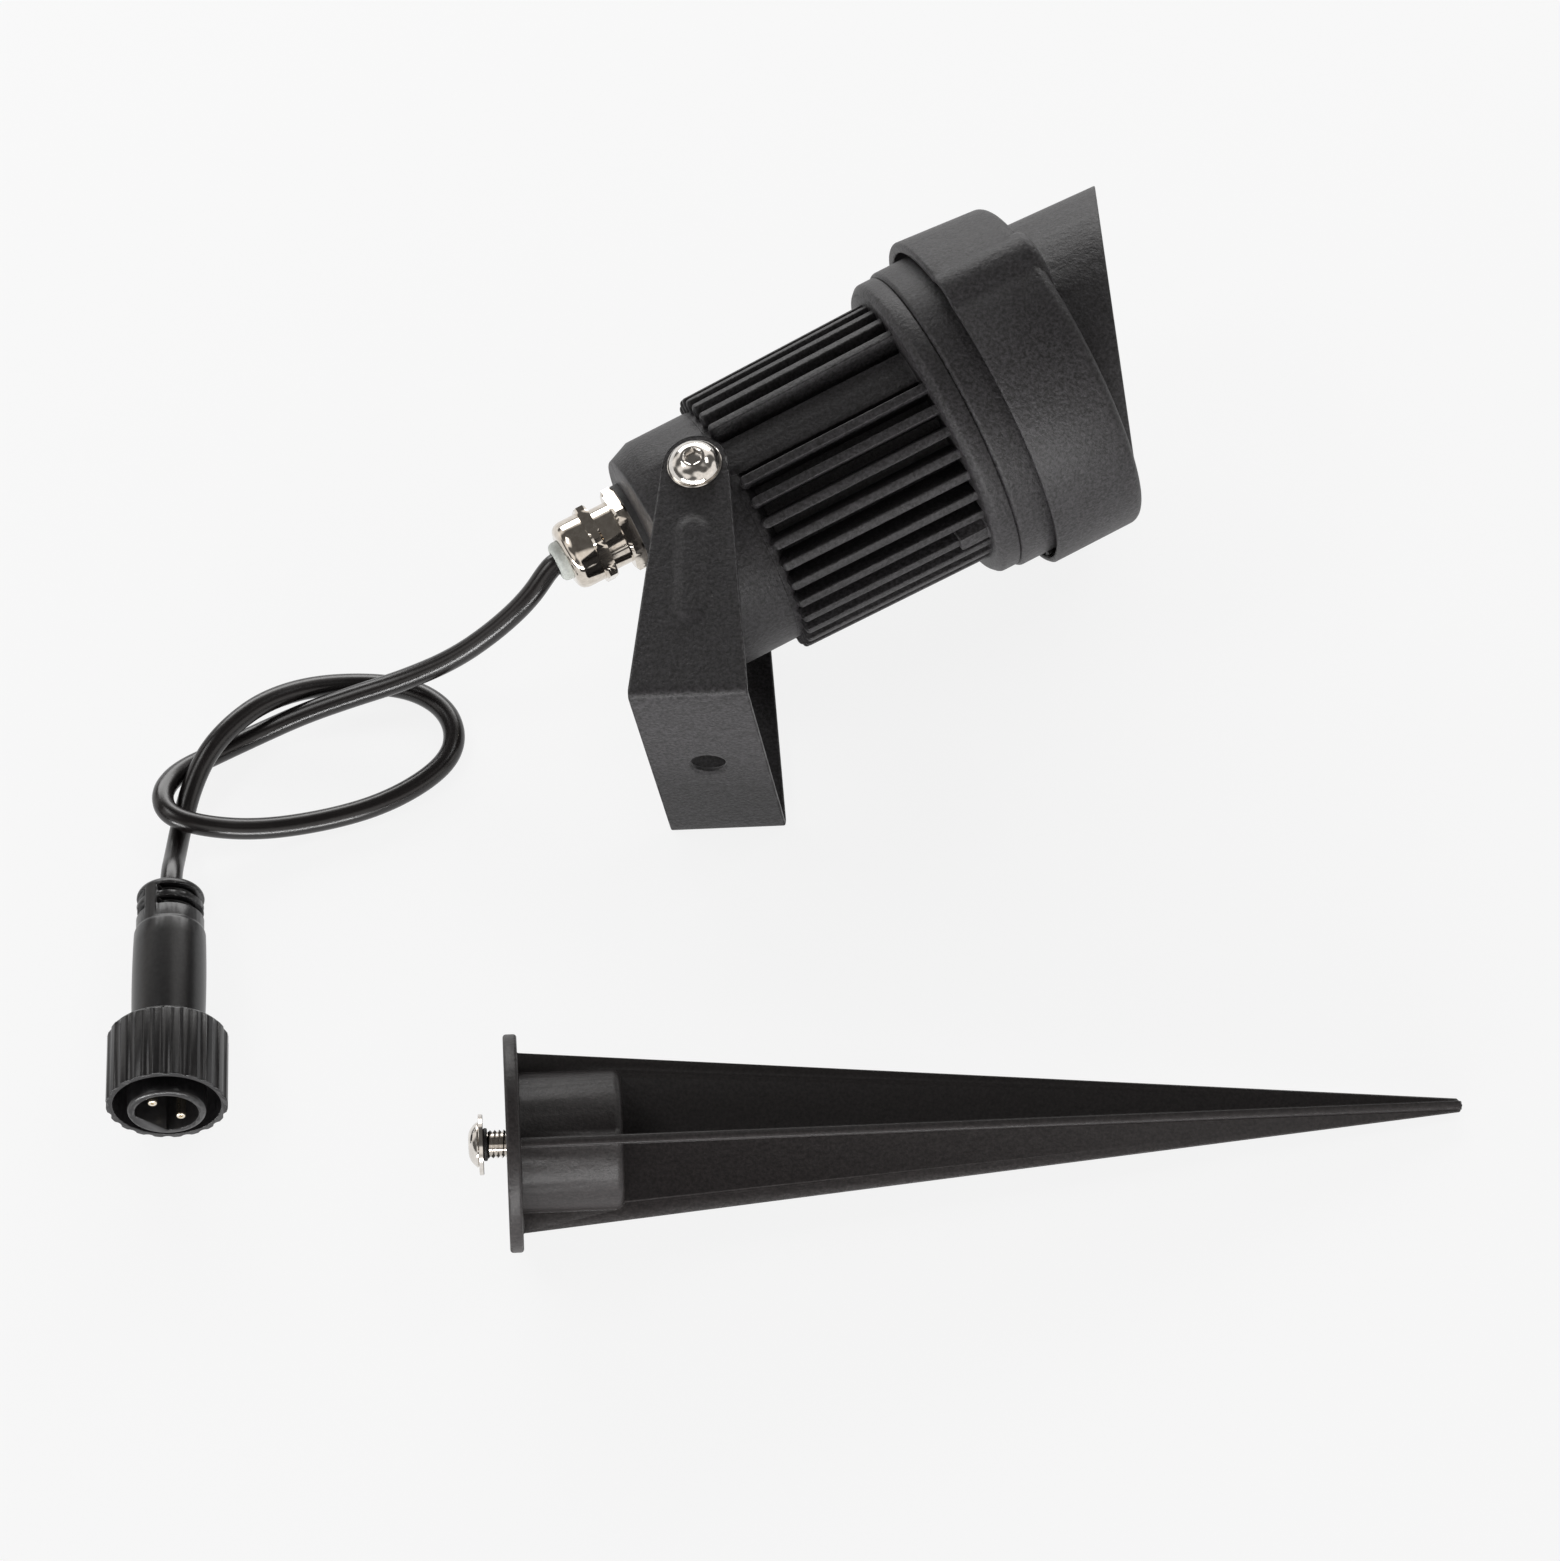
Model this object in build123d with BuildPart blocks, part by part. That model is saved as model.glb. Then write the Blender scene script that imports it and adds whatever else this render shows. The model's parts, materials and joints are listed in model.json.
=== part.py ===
from build123d import *
from math import atan, cos, hypot, pi, radians, sin, sqrt, tan
import os

# Garden spike spotlight, taken apart and laid out on a table. Millimetres, +Z up, table top at Z = 0.
# The lamp lies on its side, so its hinge axis points up. The spike and the cord's connector lie beside it.
# The origin is on the table, under the middle of the lamp and the spike together.

os.makedirs("parts", exist_ok=True)

# ---------------------------------------------------------------- clearances
seat_gap = 0.03             # between pieces that seat in or on each other
swing_gap = 0.05            # each side of a bracket arm, between its boss and its washer
running_gap = 0.08          # radial, where one piece turns on another
root_overlap = 0.4          # how far a rib or boss is rooted in the wall that carries it

# ---------------------------------------------------------------- housing, stations from the hinge axis
cap_r = 22.8
cap_rear_r = 21.0
cap_chamfer = 4.4           # length of the cone at the rear edge of the cap
cap_behind_hinge = 11.1
cap_before_hinge = 5.0
rear_wall = 4.0
core_r = 20.4               # floor of the grooves between the fins
rear_chamber_r = 17.2
front_chamber_r = 18.2
rear_chamber_end = 26.0     # the shoulder that carries the heat plate
fin_rear = 5.6
fin_rear_r = 25.2
fin_front_r = 25.8
fin_thickness = 1.8
fin_pitch = 10.0            # degrees
fins_per_side = 16
band_half_angle = 9.4       # smooth band in line with each arm of the bracket
collar_start = 42.9
collar_length = 4.4
collar_r = 29.2
collar_round = 1.2
collar_bore_r = 23.0
collar_web = 1.6            # joins the collar to the core, and carries the reflector
spigot_length = 3.0
spigot_r = 27.0
flat_half_height = 22.0     # flat cut on the cap under each arm
arm_boss_r = 5.4
gate_boss_length = 5.8
gate_boss_width = 3.2
gate_boss_r = 26.4
gate_boss_angle = 175.0
post_r = 3.0
post_pitch_r = 14.3
board_rib_width = 2.0
board_rib_length = 16.0

# ---------------------------------------------------------------- front glass and bezel
glass_gasket_thickness = 1.0
glass_gasket_width = 3.4
glass_thickness = 3.0
glass_chamfer = 0.3
bezel_r = 29.8
bezel_lip = 1.7
bezel_opening_r = 23.5
bezel_groove = 0.5          # chamfer that leaves a fine groove behind the bezel

# ---------------------------------------------------------------- hood
hood_start = 53.4
sleeve_length = 17.9
sleeve_r = 32.2
sleeve_wall = 1.2
sleeve_round = 2.0
arch_rise = 0.8             # the hood's top arch stands out of the sleeve at the rear
arch_fall = 0.4             # and tapers to below it at the front
ear_r = 7.0
ear_proud = 1.2
ear_angle = 80.0            # from the long side of the snoot
ear_ahead = 0.9
ear_round = 1.6
snoot_mid = 83.1            # where the slanted mouth crosses the axis
snoot_slant = 21.9          # degrees
snoot_mid_r = 26.2
snoot_taper = 2.5           # degrees
snoot_wall = 1.2
snoot_rear = 60.0
clip_width = 2.6
clip_angles = (65, -65, 140, -140)   # two under the ears and two below, degrees

# ---------------------------------------------------------------- light engine
plate_thickness = 2.0
board_thickness = 1.6
board_r = 17.0
chip_r = 5.5
chip_thickness = 1.2
dome_height = 0.9
reflector_throat_r = 6.6
reflector_wall = 1.0
reflector_flange = 1.0
board_screw_r = 1.25
board_screw_head_r = 2.2
board_screw_head = 1.5
board_screw_length = 8.0
driver_length = 18.0
driver_width = 17.0
driver_thickness = 1.6
capacitor_r = 4.0
capacitor_height = 10.0
choke_size = 6.0

# ---------------------------------------------------------------- bracket and its pivots
bracket_width = 52.0        # over both arms
bracket_reach = 46.5        # hinge axis to the outer face of the base
bracket_breadth = 21.0
sheet = 1.2
bend_r = 1.7                # outside of each fold
arm_end_r = 6.0
arm_rib_width = 6.4
arm_rib_top = 10.4          # hinge axis to the top end of the pressed rib
arm_rib_bottom = 32.2
arm_rib_height = 0.4
base_hole_r = 3.15
pivot_shank_r = 2.5
pivot_thread_depth = 6.2
pivot_head_r = 4.55
pivot_head = 2.6
pivot_crown_r = 1.9
pivot_socket = 3.0          # across flats
pivot_socket_depth = 1.4
pivot_washer_r = 4.9
pivot_washer = 0.4
lamp_turn = 28.4            # lamp axis from the plane of the bracket's base, degrees

# ---------------------------------------------------------------- cable gland
gland_offset = 10.65        # from the lamp's axis toward the hood's long side
gland_thread_r = 6.0
gland_thread_inside = 7.0
gland_gasket_r = 8.0
gland_gasket = 1.2
gland_flats = 14.0          # across flats, body and nut
gland_flange = 2.4
gland_barrel = 3.6
gland_bore_r = 3.8
gland_sleeve_r = 5.2        # the body inside the nut
gland_nut_hex = 2.2
gland_nut_r = 6.55
gland_nut_body = 3.4
gland_dome = 1.8
gland_dome_r = 4.75
gland_nut_turn = -20.0      # degrees, the nut's flats from the body's
gland_body_turn = 24.0
gland_seal_out = 1.9
gland_seal_inside = 9.0
cord_r = 2.0
cord_gap = 0.04             # around the cord where it is gripped
cord_in_gland = 6.0
cord_in_connector = 3.0

# ---------------------------------------------------------------- spike, stations from the flange toward the tip
spike_length = 164.0
flange_r = 18.84
flange_thickness = 2.4
flange_round = 0.6
blade_half_width = 15.6
blade_tip_half_width = 1.2
blade_thickness = 1.5
tip_cut = 1.0               # how far the slanted tip runs back
hub_r = 12.0
hub_length = 17.6
hub_round = 1.5
spike_roll = 27.5           # near blade from upright, degrees
spike_yaw = 4.9
spike_hole_depth = 15.0
screw_r = 2.5
screw_length = 16.0
screw_proud = 4.8           # underside of the head above the flange
screw_head_r = 3.9
screw_head = 1.75
screw_socket = 2.5
washer_r = 5.3
washer_thickness = 0.8
keeper_r = 2.85
keeper_thickness = 0.7

# ---------------------------------------------------------------- cord connector, stations from its rear end
connector_length = 45.2     # to the front face of the coupling nut
relief_r = 5.85
relief_length = 8.6
relief_round = 1.4
slot_count = 2              # rows of slots
slot_first = 1.7
slot_pitch = 2.7
slot_height = 1.5
slot_floor_r = 4.3
slot_rib = 2.6              # the two ribs that bridge the slots
slot_rib_turn = -42.5
body_r = 6.45
body_belly = 0.2
nut_length = 14.6
nut_r = 10.75
nut_flutes = 20
flute_r = 1.5
flute_depth = 0.4
nut_rear_wall = 2.0
nut_bore_r = 9.5
nut_chamfer = 0.8
nut_float = 0.4
retainer_r = 8.6
retainer_thickness = 2.0
insert_r = 6.95
insert_bore_r = 5.6
insert_proud = 1.6
insert_floor = 3.0
key_offset = 4.3            # the flat inside the insert, from its axis
pin_r = 0.9
pin_spacing = 6.45
pin_recess = 0.6
pin_turn = -49.5
oring_r = 0.85
connector_yaw = 4.7
connector_pitch = 4.0

# ---------------------------------------------------------------- layout on the table
hinge_x = -45.8
hinge_y = 34.8
spike_x = -30.96            # the spike's flange from the hinge
spike_y = -117.48
connector_x = -98.79        # connector's rear end from the hinge
connector_y = -60.56
cord_floor = 2.05           # height of the cord's centre where it lies on the table


# ================================================================ frames
# Lamp frame: X along the bracket's breadth, Y from its base to the hinge, Z along the hinge axis.
# The lamp rests on the far pivot screw, the far ear of the hood and one corner of the bracket's base.
ear_centre_r = sleeve_r + ear_proud - ear_r
ear_reach = ear_centre_r * sin(radians(ear_angle)) + ear_r
turn = radians(lamp_turn)
corner_s = -cos(turn) * bracket_breadth / 2 - sin(turn) * bracket_reach
corner_t = sin(turn) * bracket_breadth / 2 - cos(turn) * bracket_reach
pivot_stack = bracket_width / 2 + swing_gap + pivot_washer + pivot_head
rise_along = 0.0
rise_across = 0.0
for step in range(12):
    prop = pivot_stack + pivot_crown_r * hypot(rise_along, rise_across)
    rise_along = (ear_reach * sqrt(1 + rise_across**2) - prop) / hood_start
    rise_across = (prop + rise_along * corner_s - bracket_width / 2) / -corner_t
axis_in_lamp = Vector(cos(turn), sin(turn), 0)
across_in_lamp = Vector(-sin(turn), cos(turn), 0)
up_row = Vector(0, 0, 1) + axis_in_lamp * rise_along + across_in_lamp * rise_across
hinge_height = prop / up_row.length
up_row = up_row.normalized()
y_row = (Vector(0, 1, 0) - up_row * up_row.Y).normalized()
x_row = y_row.cross(up_row)
lamp_frame = Plane(
    origin=(hinge_x, hinge_y, hinge_height),
    x_dir=(x_row.X, y_row.X, up_row.X),
    z_dir=(x_row.Z, y_row.Z, up_row.Z),
)


def inside(frame, origin, x_dir, z_dir):
    """A plane given in the coordinates of another frame."""
    return Plane(frame.location * Plane(origin=origin, x_dir=x_dir, z_dir=z_dir).location)


# Head frame: Z forward along the lamp's axis, X toward the hood's long side, Y along the hinge axis.
head_frame = inside(
    lamp_frame, (0, 0, 0), tuple(across_in_lamp), tuple(axis_in_lamp)
)
# Gland frame: Z to the rear, starting on the housing's rear face.
gland_frame = inside(head_frame, (gland_offset, 0, -cap_behind_hinge), (1, 0, 0), (0, 0, -1))

# Spike frame: Z to the tip, X toward the upper blade. It rests on the rim of its flange and on its tip.
tip_reach = blade_tip_half_width * cos(radians(spike_roll)) + blade_thickness / 2 * sin(radians(spike_roll))
spike_dip = atan((flange_r - tip_reach) / spike_length)
spike_axis = Vector(
    cos(spike_dip) * cos(radians(spike_yaw)), cos(spike_dip) * sin(radians(spike_yaw)), -sin(spike_dip)
)
spike_side = Vector(0, 0, 1).cross(spike_axis).normalized()
spike_up = spike_axis.cross(spike_side)
spike_x_dir = spike_up * cos(radians(spike_roll)) - spike_side * sin(radians(spike_roll))
spike_frame = Plane(
    origin=(hinge_x + spike_x, hinge_y + spike_y, flange_r * cos(spike_dip)),
    x_dir=tuple(spike_x_dir),
    z_dir=tuple(spike_axis),
)

# Connector frame: Z to the nose, Y up. It rests on the rear rim of its coupling nut, nose a little up.
nose = Vector(
    sin(radians(connector_yaw)) * cos(radians(connector_pitch)),
    -cos(radians(connector_yaw)) * cos(radians(connector_pitch)),
    sin(radians(connector_pitch)),
)
nose_right = Vector(0, 0, 1).cross(nose).normalized()
nut_start = connector_length - nut_length
connector_height = nut_r * cos(radians(connector_pitch)) - (nut_start + nut_chamfer) * nose.Z
connector_frame = Plane(
    origin=(hinge_x + connector_x, hinge_y + connector_y, connector_height),
    x_dir=tuple(nose_right),
    z_dir=tuple(nose),
)

# ---------------------------------------------------------------- stations that follow from the sizes above
rear_face = -cap_behind_hinge
chamber_floor = rear_face + rear_wall
collar_end = collar_start + collar_length
reflector_seat = collar_start + collar_web
spigot_end = collar_end + spigot_length
glass_start = spigot_end + glass_gasket_thickness
glass_end = glass_start + glass_thickness
bezel_end = glass_end + bezel_lip
glass_r = spigot_r - 0.5
hood_front = hood_start + sleeve_length
arm_inner = bracket_width / 2 - sheet
post_spots = [(0, post_pitch_r), (0, -post_pitch_r)]
board_front = rear_chamber_end + plate_thickness + board_thickness


# ================================================================ lamp housing
# Die-cast cap and finned core in one, with the collar that the bezel seats on.
with BuildPart() as housing:
    with BuildSketch(Plane.XZ):
        with BuildLine():
            Polyline(
                (0, rear_face),
                (cap_rear_r, rear_face),
                (cap_r, rear_face + cap_chamfer),
                (cap_r, collar_start),
                (collar_r - collar_round, collar_start),
                (collar_r, collar_start + collar_round),
                (collar_r, collar_end),
                (spigot_r, collar_end),
                (spigot_r, spigot_end),
                (collar_bore_r, spigot_end),
                (collar_bore_r, reflector_seat),
                (front_chamber_r, reflector_seat),
                (front_chamber_r, rear_chamber_end),
                (rear_chamber_r, rear_chamber_end),
                (rear_chamber_r, chamber_floor),
                (0, chamber_floor),
                close=True,
            )
        make_face()
    revolve(axis=Axis.Z)

    # the core is sunk below the cap on both sides of the smooth bands, which run in line with the arms
    for side in (0, 180):
        edge = radians(side - 90 + band_half_angle)
        with BuildSketch(
            Plane(origin=(0, 0, 0), x_dir=(cos(edge), sin(edge), 0), z_dir=(sin(edge), -cos(edge), 0))
        ):
            with Locations(((core_r + collar_r) / 2, (cap_before_hinge + collar_start) / 2)):
                Rectangle(collar_r - core_r, collar_start - cap_before_hinge)
        revolve(axis=Axis.Z, revolution_arc=180 - 2 * band_half_angle, mode=Mode.SUBTRACT)

    # cooling fins, rounded at the rear, a little higher at the front
    fin_length = collar_start - fin_rear
    fin_rooted_length = fin_length + collar_web * 0.8
    fin_slope = (fin_front_r - fin_rear_r) / fin_length
    first_fin = 90 - fin_pitch * (fins_per_side - 1) / 2
    for side in (0, 180):
        for count in range(fins_per_side):
            angle = radians(side - 90 + first_fin + fin_pitch * count)
            fin_plane = Plane(
                origin=(fin_rear_r * cos(angle), fin_rear_r * sin(angle), fin_rear),
                x_dir=(fin_slope * cos(angle), fin_slope * sin(angle), 1),
                z_dir=(cos(angle), sin(angle), -fin_slope),
            )
            with BuildSketch(fin_plane):
                with Locations((fin_rooted_length / 2, 0)):
                    SlotOverall(fin_rooted_length, fin_thickness)
    extrude(amount=-(fin_front_r - core_r + root_overlap))

    # moulding boss at the front end of the lower fins
    gate_dir = (cos(radians(gate_boss_angle)), sin(radians(gate_boss_angle)), 0)
    with BuildSketch(Plane(origin=(0, 0, collar_start), x_dir=(0, 0, 1), z_dir=gate_dir).offset(gate_boss_r)):
        with Locations((-gate_boss_length / 2 + root_overlap, 0)):
            Rectangle(gate_boss_length + 2 * root_overlap, gate_boss_width)
    extrude(amount=-(gate_boss_r - core_r + root_overlap))

    # posts for the light engine, made before the arms' threaded holes, which may run into them
    with BuildSketch(Plane.XY.offset(chamber_floor - root_overlap)):
        with Locations(*post_spots):
            Circle(post_r)
    extrude(amount=rear_chamber_end - chamber_floor + root_overlap)

    # flats and round bosses for the arms, with their threaded holes
    for side in (1, -1):
        with BuildSketch(Plane.XZ.offset(-side * flat_half_height)):
            with Locations((0, (cap_before_hinge - cap_behind_hinge) / 2)):
                Rectangle(2 * cap_r, cap_before_hinge + cap_behind_hinge)
        extrude(amount=-side * cap_r, mode=Mode.SUBTRACT)
        with BuildSketch(Plane.XZ.offset(-side * (rear_chamber_r + 1))):
            Circle(arm_boss_r)
        extrude(amount=-side * (arm_inner - swing_gap - rear_chamber_r - 1))
        with BuildSketch(Plane.XZ.offset(-side * (arm_inner - pivot_thread_depth - 0.3))):
            Circle(pivot_shank_r + seat_gap)
        extrude(amount=-side * (pivot_thread_depth + 1), mode=Mode.SUBTRACT)

    # ribs under the driver board, screw holes in the posts, hole for the cable gland
    with BuildSketch(Plane.XY.offset(chamber_floor - root_overlap)):
        with Locations((-driver_length / 2 - 3.5, 0), (gland_offset - gland_thread_r - board_rib_width, 0)):
            Rectangle(board_rib_width, board_rib_length)
    extrude(amount=-chamber_floor + root_overlap)
    with BuildSketch(Plane.XY.offset(rear_chamber_end)):
        with Locations(*post_spots):
            Circle(board_screw_r + seat_gap)
    extrude(amount=-board_screw_length, mode=Mode.SUBTRACT)
    with BuildSketch(Plane.XY.offset(rear_face)):
        with Locations((gland_offset, 0)):
            Circle(gland_thread_r + seat_gap)
    extrude(amount=rear_wall, mode=Mode.SUBTRACT)
housing.part.label = "lamp_housing"
housing.part.move(head_frame.location)
export_step(housing.part, "parts/lamp_housing.step")


# ================================================================ front bezel, glass and gasket
with BuildPart() as bezel:
    with BuildSketch(Plane.XZ):
        with BuildLine():
            Polyline(
                (spigot_r + seat_gap, collar_end),
                (bezel_r - bezel_groove, collar_end),
                (bezel_r, collar_end + bezel_groove),
                (bezel_r, bezel_end - bezel_groove),
                (bezel_r - bezel_groove, bezel_end),
                (bezel_opening_r + bezel_lip, bezel_end),
                (bezel_opening_r, glass_end),
                (spigot_r + seat_gap, glass_end),
                close=True,
            )
        make_face()
    revolve(axis=Axis.Z)
bezel.part.label = "front_bezel"
bezel.part.move(head_frame.location)
export_step(bezel.part, "parts/front_bezel.step")

with BuildPart() as glass_gasket:
    with BuildSketch(Plane.XY.offset(spigot_end)):
        Circle(glass_r)
        Circle(glass_r - glass_gasket_width, mode=Mode.SUBTRACT)
    extrude(amount=glass_gasket_thickness)
glass_gasket.part.label = "glass_gasket"
glass_gasket.part.move(head_frame.location)
export_step(glass_gasket.part, "parts/glass_gasket.step")

with BuildPart() as glass:
    with BuildSketch(Plane.XY.offset(glass_start)):
        Circle(glass_r)
    extrude(amount=glass_thickness)
    chamfer(glass.edges().filter_by(GeomType.CIRCLE), length=glass_chamfer)
glass.part.label = "front_glass"
glass.part.move(head_frame.location)
export_step(glass.part, "parts/front_glass.step")


# ================================================================ hood
# The snoot is a tapered tube with a slanted mouth, longest on the +X side.
def snoot_r(station):
    return snoot_mid_r + (snoot_mid - station) * tan(radians(snoot_taper))


snoot_front = snoot_mid + snoot_mid_r * tan(radians(snoot_slant)) + 2
with BuildPart() as snoot_tube:
    with BuildSketch(Plane.XZ):
        with BuildLine():
            Polyline(
                (snoot_r(snoot_rear) - snoot_wall, snoot_rear),
                (snoot_r(snoot_rear), snoot_rear),
                (snoot_r(snoot_front), snoot_front),
                (snoot_r(snoot_front) - snoot_wall, snoot_front),
                close=True,
            )
        make_face()
    revolve(axis=Axis.Z)
    split(
        bisect_by=Plane(origin=(0, 0, snoot_mid), z_dir=(-tan(radians(snoot_slant)), 0, 1)), keep=Keep.BOTTOM
    )

arch_rear_r = sleeve_r + arch_rise
arch_front_r = sleeve_r - arch_fall

# The sleeve goes over the bezel: a tapered arch on the long side, a plain band below, and a hollow ear where
# they meet on each side. Small clips inside bear on the bezel.
sleeve_bore_r = sleeve_r - sleeve_wall
front_wall_start = hood_front - sleeve_wall
ear_x = ear_centre_r * cos(radians(ear_angle))
ear_y = ear_centre_r * sin(radians(ear_angle))
with BuildPart() as hood:
    with BuildSketch(Plane.XY.offset(hood_start)):
        with Locations((ear_x, ear_y), (ear_x, -ear_y)):
            Circle(ear_r)
    extrude(amount=sleeve_length + ear_ahead)
    fillet(hood.edges().group_by(Axis.Z)[-1], radius=ear_round)
    for start, arc, rear_r, front_r in (
        (radians(ear_angle), 360 - 2 * ear_angle, sleeve_r, sleeve_r),
        (radians(-ear_angle), 2 * ear_angle, arch_rear_r, arch_front_r),
    ):
        with BuildSketch(
            Plane(origin=(0, 0, 0), x_dir=(cos(start), sin(start), 0), z_dir=(sin(start), -cos(start), 0))
        ):
            with BuildLine():
                rear = Line((sleeve_bore_r, hood_start), (rear_r - sleeve_wall / 3, hood_start))
                side = Polyline(
                    rear @ 1, (rear_r, hood_start + sleeve_wall / 3), (front_r, hood_front - sleeve_round)
                )
                corner = RadiusArc(side @ 1, (front_r - sleeve_round, hood_front), -sleeve_round)
                Polyline(
                    corner @ 1,
                    (snoot_r(hood_front) - snoot_wall / 2, hood_front),
                    (snoot_r(hood_front) - snoot_wall / 2, front_wall_start),
                    (sleeve_bore_r, front_wall_start),
                    rear @ 0,
                )
            make_face()
        revolve(axis=Axis.Z, revolution_arc=arc)
    # bore of the sleeve and the hollows of the ears, up to the front wall
    with BuildSketch(Plane.XY.offset(hood_start)):
        Circle(sleeve_bore_r)
        with Locations((ear_x, ear_y), (ear_x, -ear_y)):
            Circle(ear_r - sleeve_wall)
    extrude(amount=front_wall_start - hood_start, mode=Mode.SUBTRACT)
    add(snoot_tube.part)
    # inside of the snoot
    with BuildSketch(Plane.XZ):
        with BuildLine():
            Polyline(
                (0, snoot_rear - 1),
                (snoot_r(snoot_rear - 1) - snoot_wall, snoot_rear - 1),
                (snoot_r(snoot_front + 1) - snoot_wall, snoot_front + 1),
                (0, snoot_front + 1),
                close=True,
            )
        make_face()
    revolve(axis=Axis.Z, mode=Mode.SUBTRACT)
    # clips between the sleeve and the bezel
    clip_length = bezel_end - hood_start - 1
    for angle in clip_angles:
        with BuildSketch(Plane.XY.offset(hood_start + 0.6)):
            with Locations(Location((0, 0, 0), (0, 0, angle))):
                with Locations(((bezel_r + seat_gap + sleeve_bore_r + root_overlap) / 2, 0)):
                    Rectangle(sleeve_bore_r + root_overlap - bezel_r - seat_gap, clip_width)
        extrude(amount=clip_length)
hood.part.label = "hood"
hood.part.move(head_frame.location)
export_step(hood.part, "parts/hood.step")


# ================================================================ light engine
with BuildPart() as heat_plate:
    with BuildSketch(Plane.XY.offset(rear_chamber_end)):
        Circle(front_chamber_r - seat_gap)
        with Locations(*post_spots):
            Circle(board_screw_r + running_gap, mode=Mode.SUBTRACT)
        with Locations((-post_pitch_r, 0)):
            Circle(board_screw_r, mode=Mode.SUBTRACT)
    extrude(amount=plate_thickness)
heat_plate.part.label = "heat_plate"
heat_plate.part.move(head_frame.location)
export_step(heat_plate.part, "parts/heat_plate.step")

with BuildPart() as led_board:
    with BuildSketch(Plane.XY.offset(rear_chamber_end + plate_thickness)):
        Circle(board_r)
        with Locations(*post_spots):
            Circle(board_screw_r + running_gap, mode=Mode.SUBTRACT)
        with Locations((-post_pitch_r, 0)):
            Circle(board_screw_r, mode=Mode.SUBTRACT)
    extrude(amount=board_thickness)
led_board.part.label = "led_board"
led_board.part.move(head_frame.location)
export_step(led_board.part, "parts/led_board.step")

with BuildPart() as led_chip:
    with BuildSketch(Plane.XY.offset(board_front)):
        Circle(chip_r)
    extrude(amount=chip_thickness)
    with BuildSketch(Plane.XY.offset(board_front + chip_thickness)):
        Circle(chip_r - 1)
    extrude(amount=dome_height, taper=30)
led_chip.part.label = "led_chip"
led_chip.part.move(head_frame.location)
export_step(led_chip.part, "parts/led_chip.step")

with BuildPart() as board_screws:
    with BuildSketch(Plane.XY.offset(board_front)):
        with Locations(*post_spots):
            Circle(board_screw_r)
    extrude(amount=-(board_screw_length - 0.2))
    with BuildSketch(Plane.XY.offset(board_front)):
        with Locations(*post_spots):
            Circle(board_screw_head_r)
    extrude(amount=board_screw_head, taper=12)
board_screws.part.label = "board_screws"
board_screws.part.move(head_frame.location)
export_step(board_screws.part, "parts/board_screws.step")

# The reflector is a curved cup. Its flange lies on the step behind the collar.
cup_mouth_r = front_chamber_r - 0.5
cup_mid = (board_front + reflector_seat) / 2
with BuildPart() as reflector:
    with BuildSketch(Plane.XZ):
        with BuildLine():
            outer = ThreePointArc(
                (reflector_throat_r + reflector_wall, board_front),
                (cup_mouth_r * 0.82, cup_mid - 0.5),
                (cup_mouth_r, reflector_seat),
            )
            flange = Polyline(
                outer @ 1,
                (collar_bore_r - 0.3, reflector_seat),
                (collar_bore_r - 0.3, reflector_seat + reflector_flange),
                (cup_mouth_r - reflector_wall, reflector_seat + reflector_flange),
            )
            inner = ThreePointArc(
                flange @ 1, (cup_mouth_r * 0.82 - reflector_wall, cup_mid), (reflector_throat_r, board_front)
            )
            Line(inner @ 1, outer @ 0)
        make_face()
    revolve(axis=Axis.Z)
reflector.part.label = "reflector"
reflector.part.move(head_frame.location)
export_step(reflector.part, "parts/reflector.step")

# The driver board stands on two ribs of the rear wall.
driver_x = -driver_length / 2 + gland_offset - gland_thread_r - 1
with BuildPart() as driver_board:
    with BuildSketch(Plane.XY):
        with Locations((driver_x, 0)):
            RectangleRounded(driver_length, driver_width, 1)
    extrude(amount=driver_thickness)
driver_board.part.label = "driver_board"
driver_board.part.move(head_frame.location)
export_step(driver_board.part, "parts/driver_board.step")

with BuildPart() as driver_parts:
    with BuildSketch(Plane.XY.offset(driver_thickness)):
        with Locations((driver_x - driver_length / 4, 0)):
            Circle(capacitor_r)
    extrude(amount=capacitor_height)
    with BuildSketch(Plane.XY.offset(driver_thickness)):
        with Locations((driver_x + driver_length / 4, choke_size * 0.6)):
            Rectangle(choke_size, choke_size)
    extrude(amount=choke_size)
    with BuildSketch(Plane.XY.offset(driver_thickness)):
        with Locations((driver_x + driver_length / 4, -choke_size * 0.6)):
            Rectangle(choke_size, choke_size * 0.7)
    extrude(amount=choke_size / 4)
driver_parts.part.label = "driver_parts"
driver_parts.part.move(head_frame.location)
export_step(driver_parts.part, "parts/driver_parts.step")


# ================================================================ cable gland
flange_start = gland_gasket
barrel_start = flange_start + gland_flange
nut_hex_start = barrel_start + gland_barrel
nut_body_start = nut_hex_start + gland_nut_hex
dome_start = nut_body_start + gland_nut_body
gland_end = dome_start + gland_dome
seal_end = gland_end + gland_seal_out
seal_bore_r = cord_r + cord_gap

with BuildPart() as gland_gasket_ring:
    with BuildSketch():
        Circle(gland_gasket_r)
        Circle(gland_thread_r + seat_gap, mode=Mode.SUBTRACT)
    extrude(amount=gland_gasket)
gland_gasket_ring.part.label = "gland_gasket"
gland_gasket_ring.part.move(gland_frame.location)
export_step(gland_gasket_ring.part, "parts/gland_gasket.step")

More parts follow.
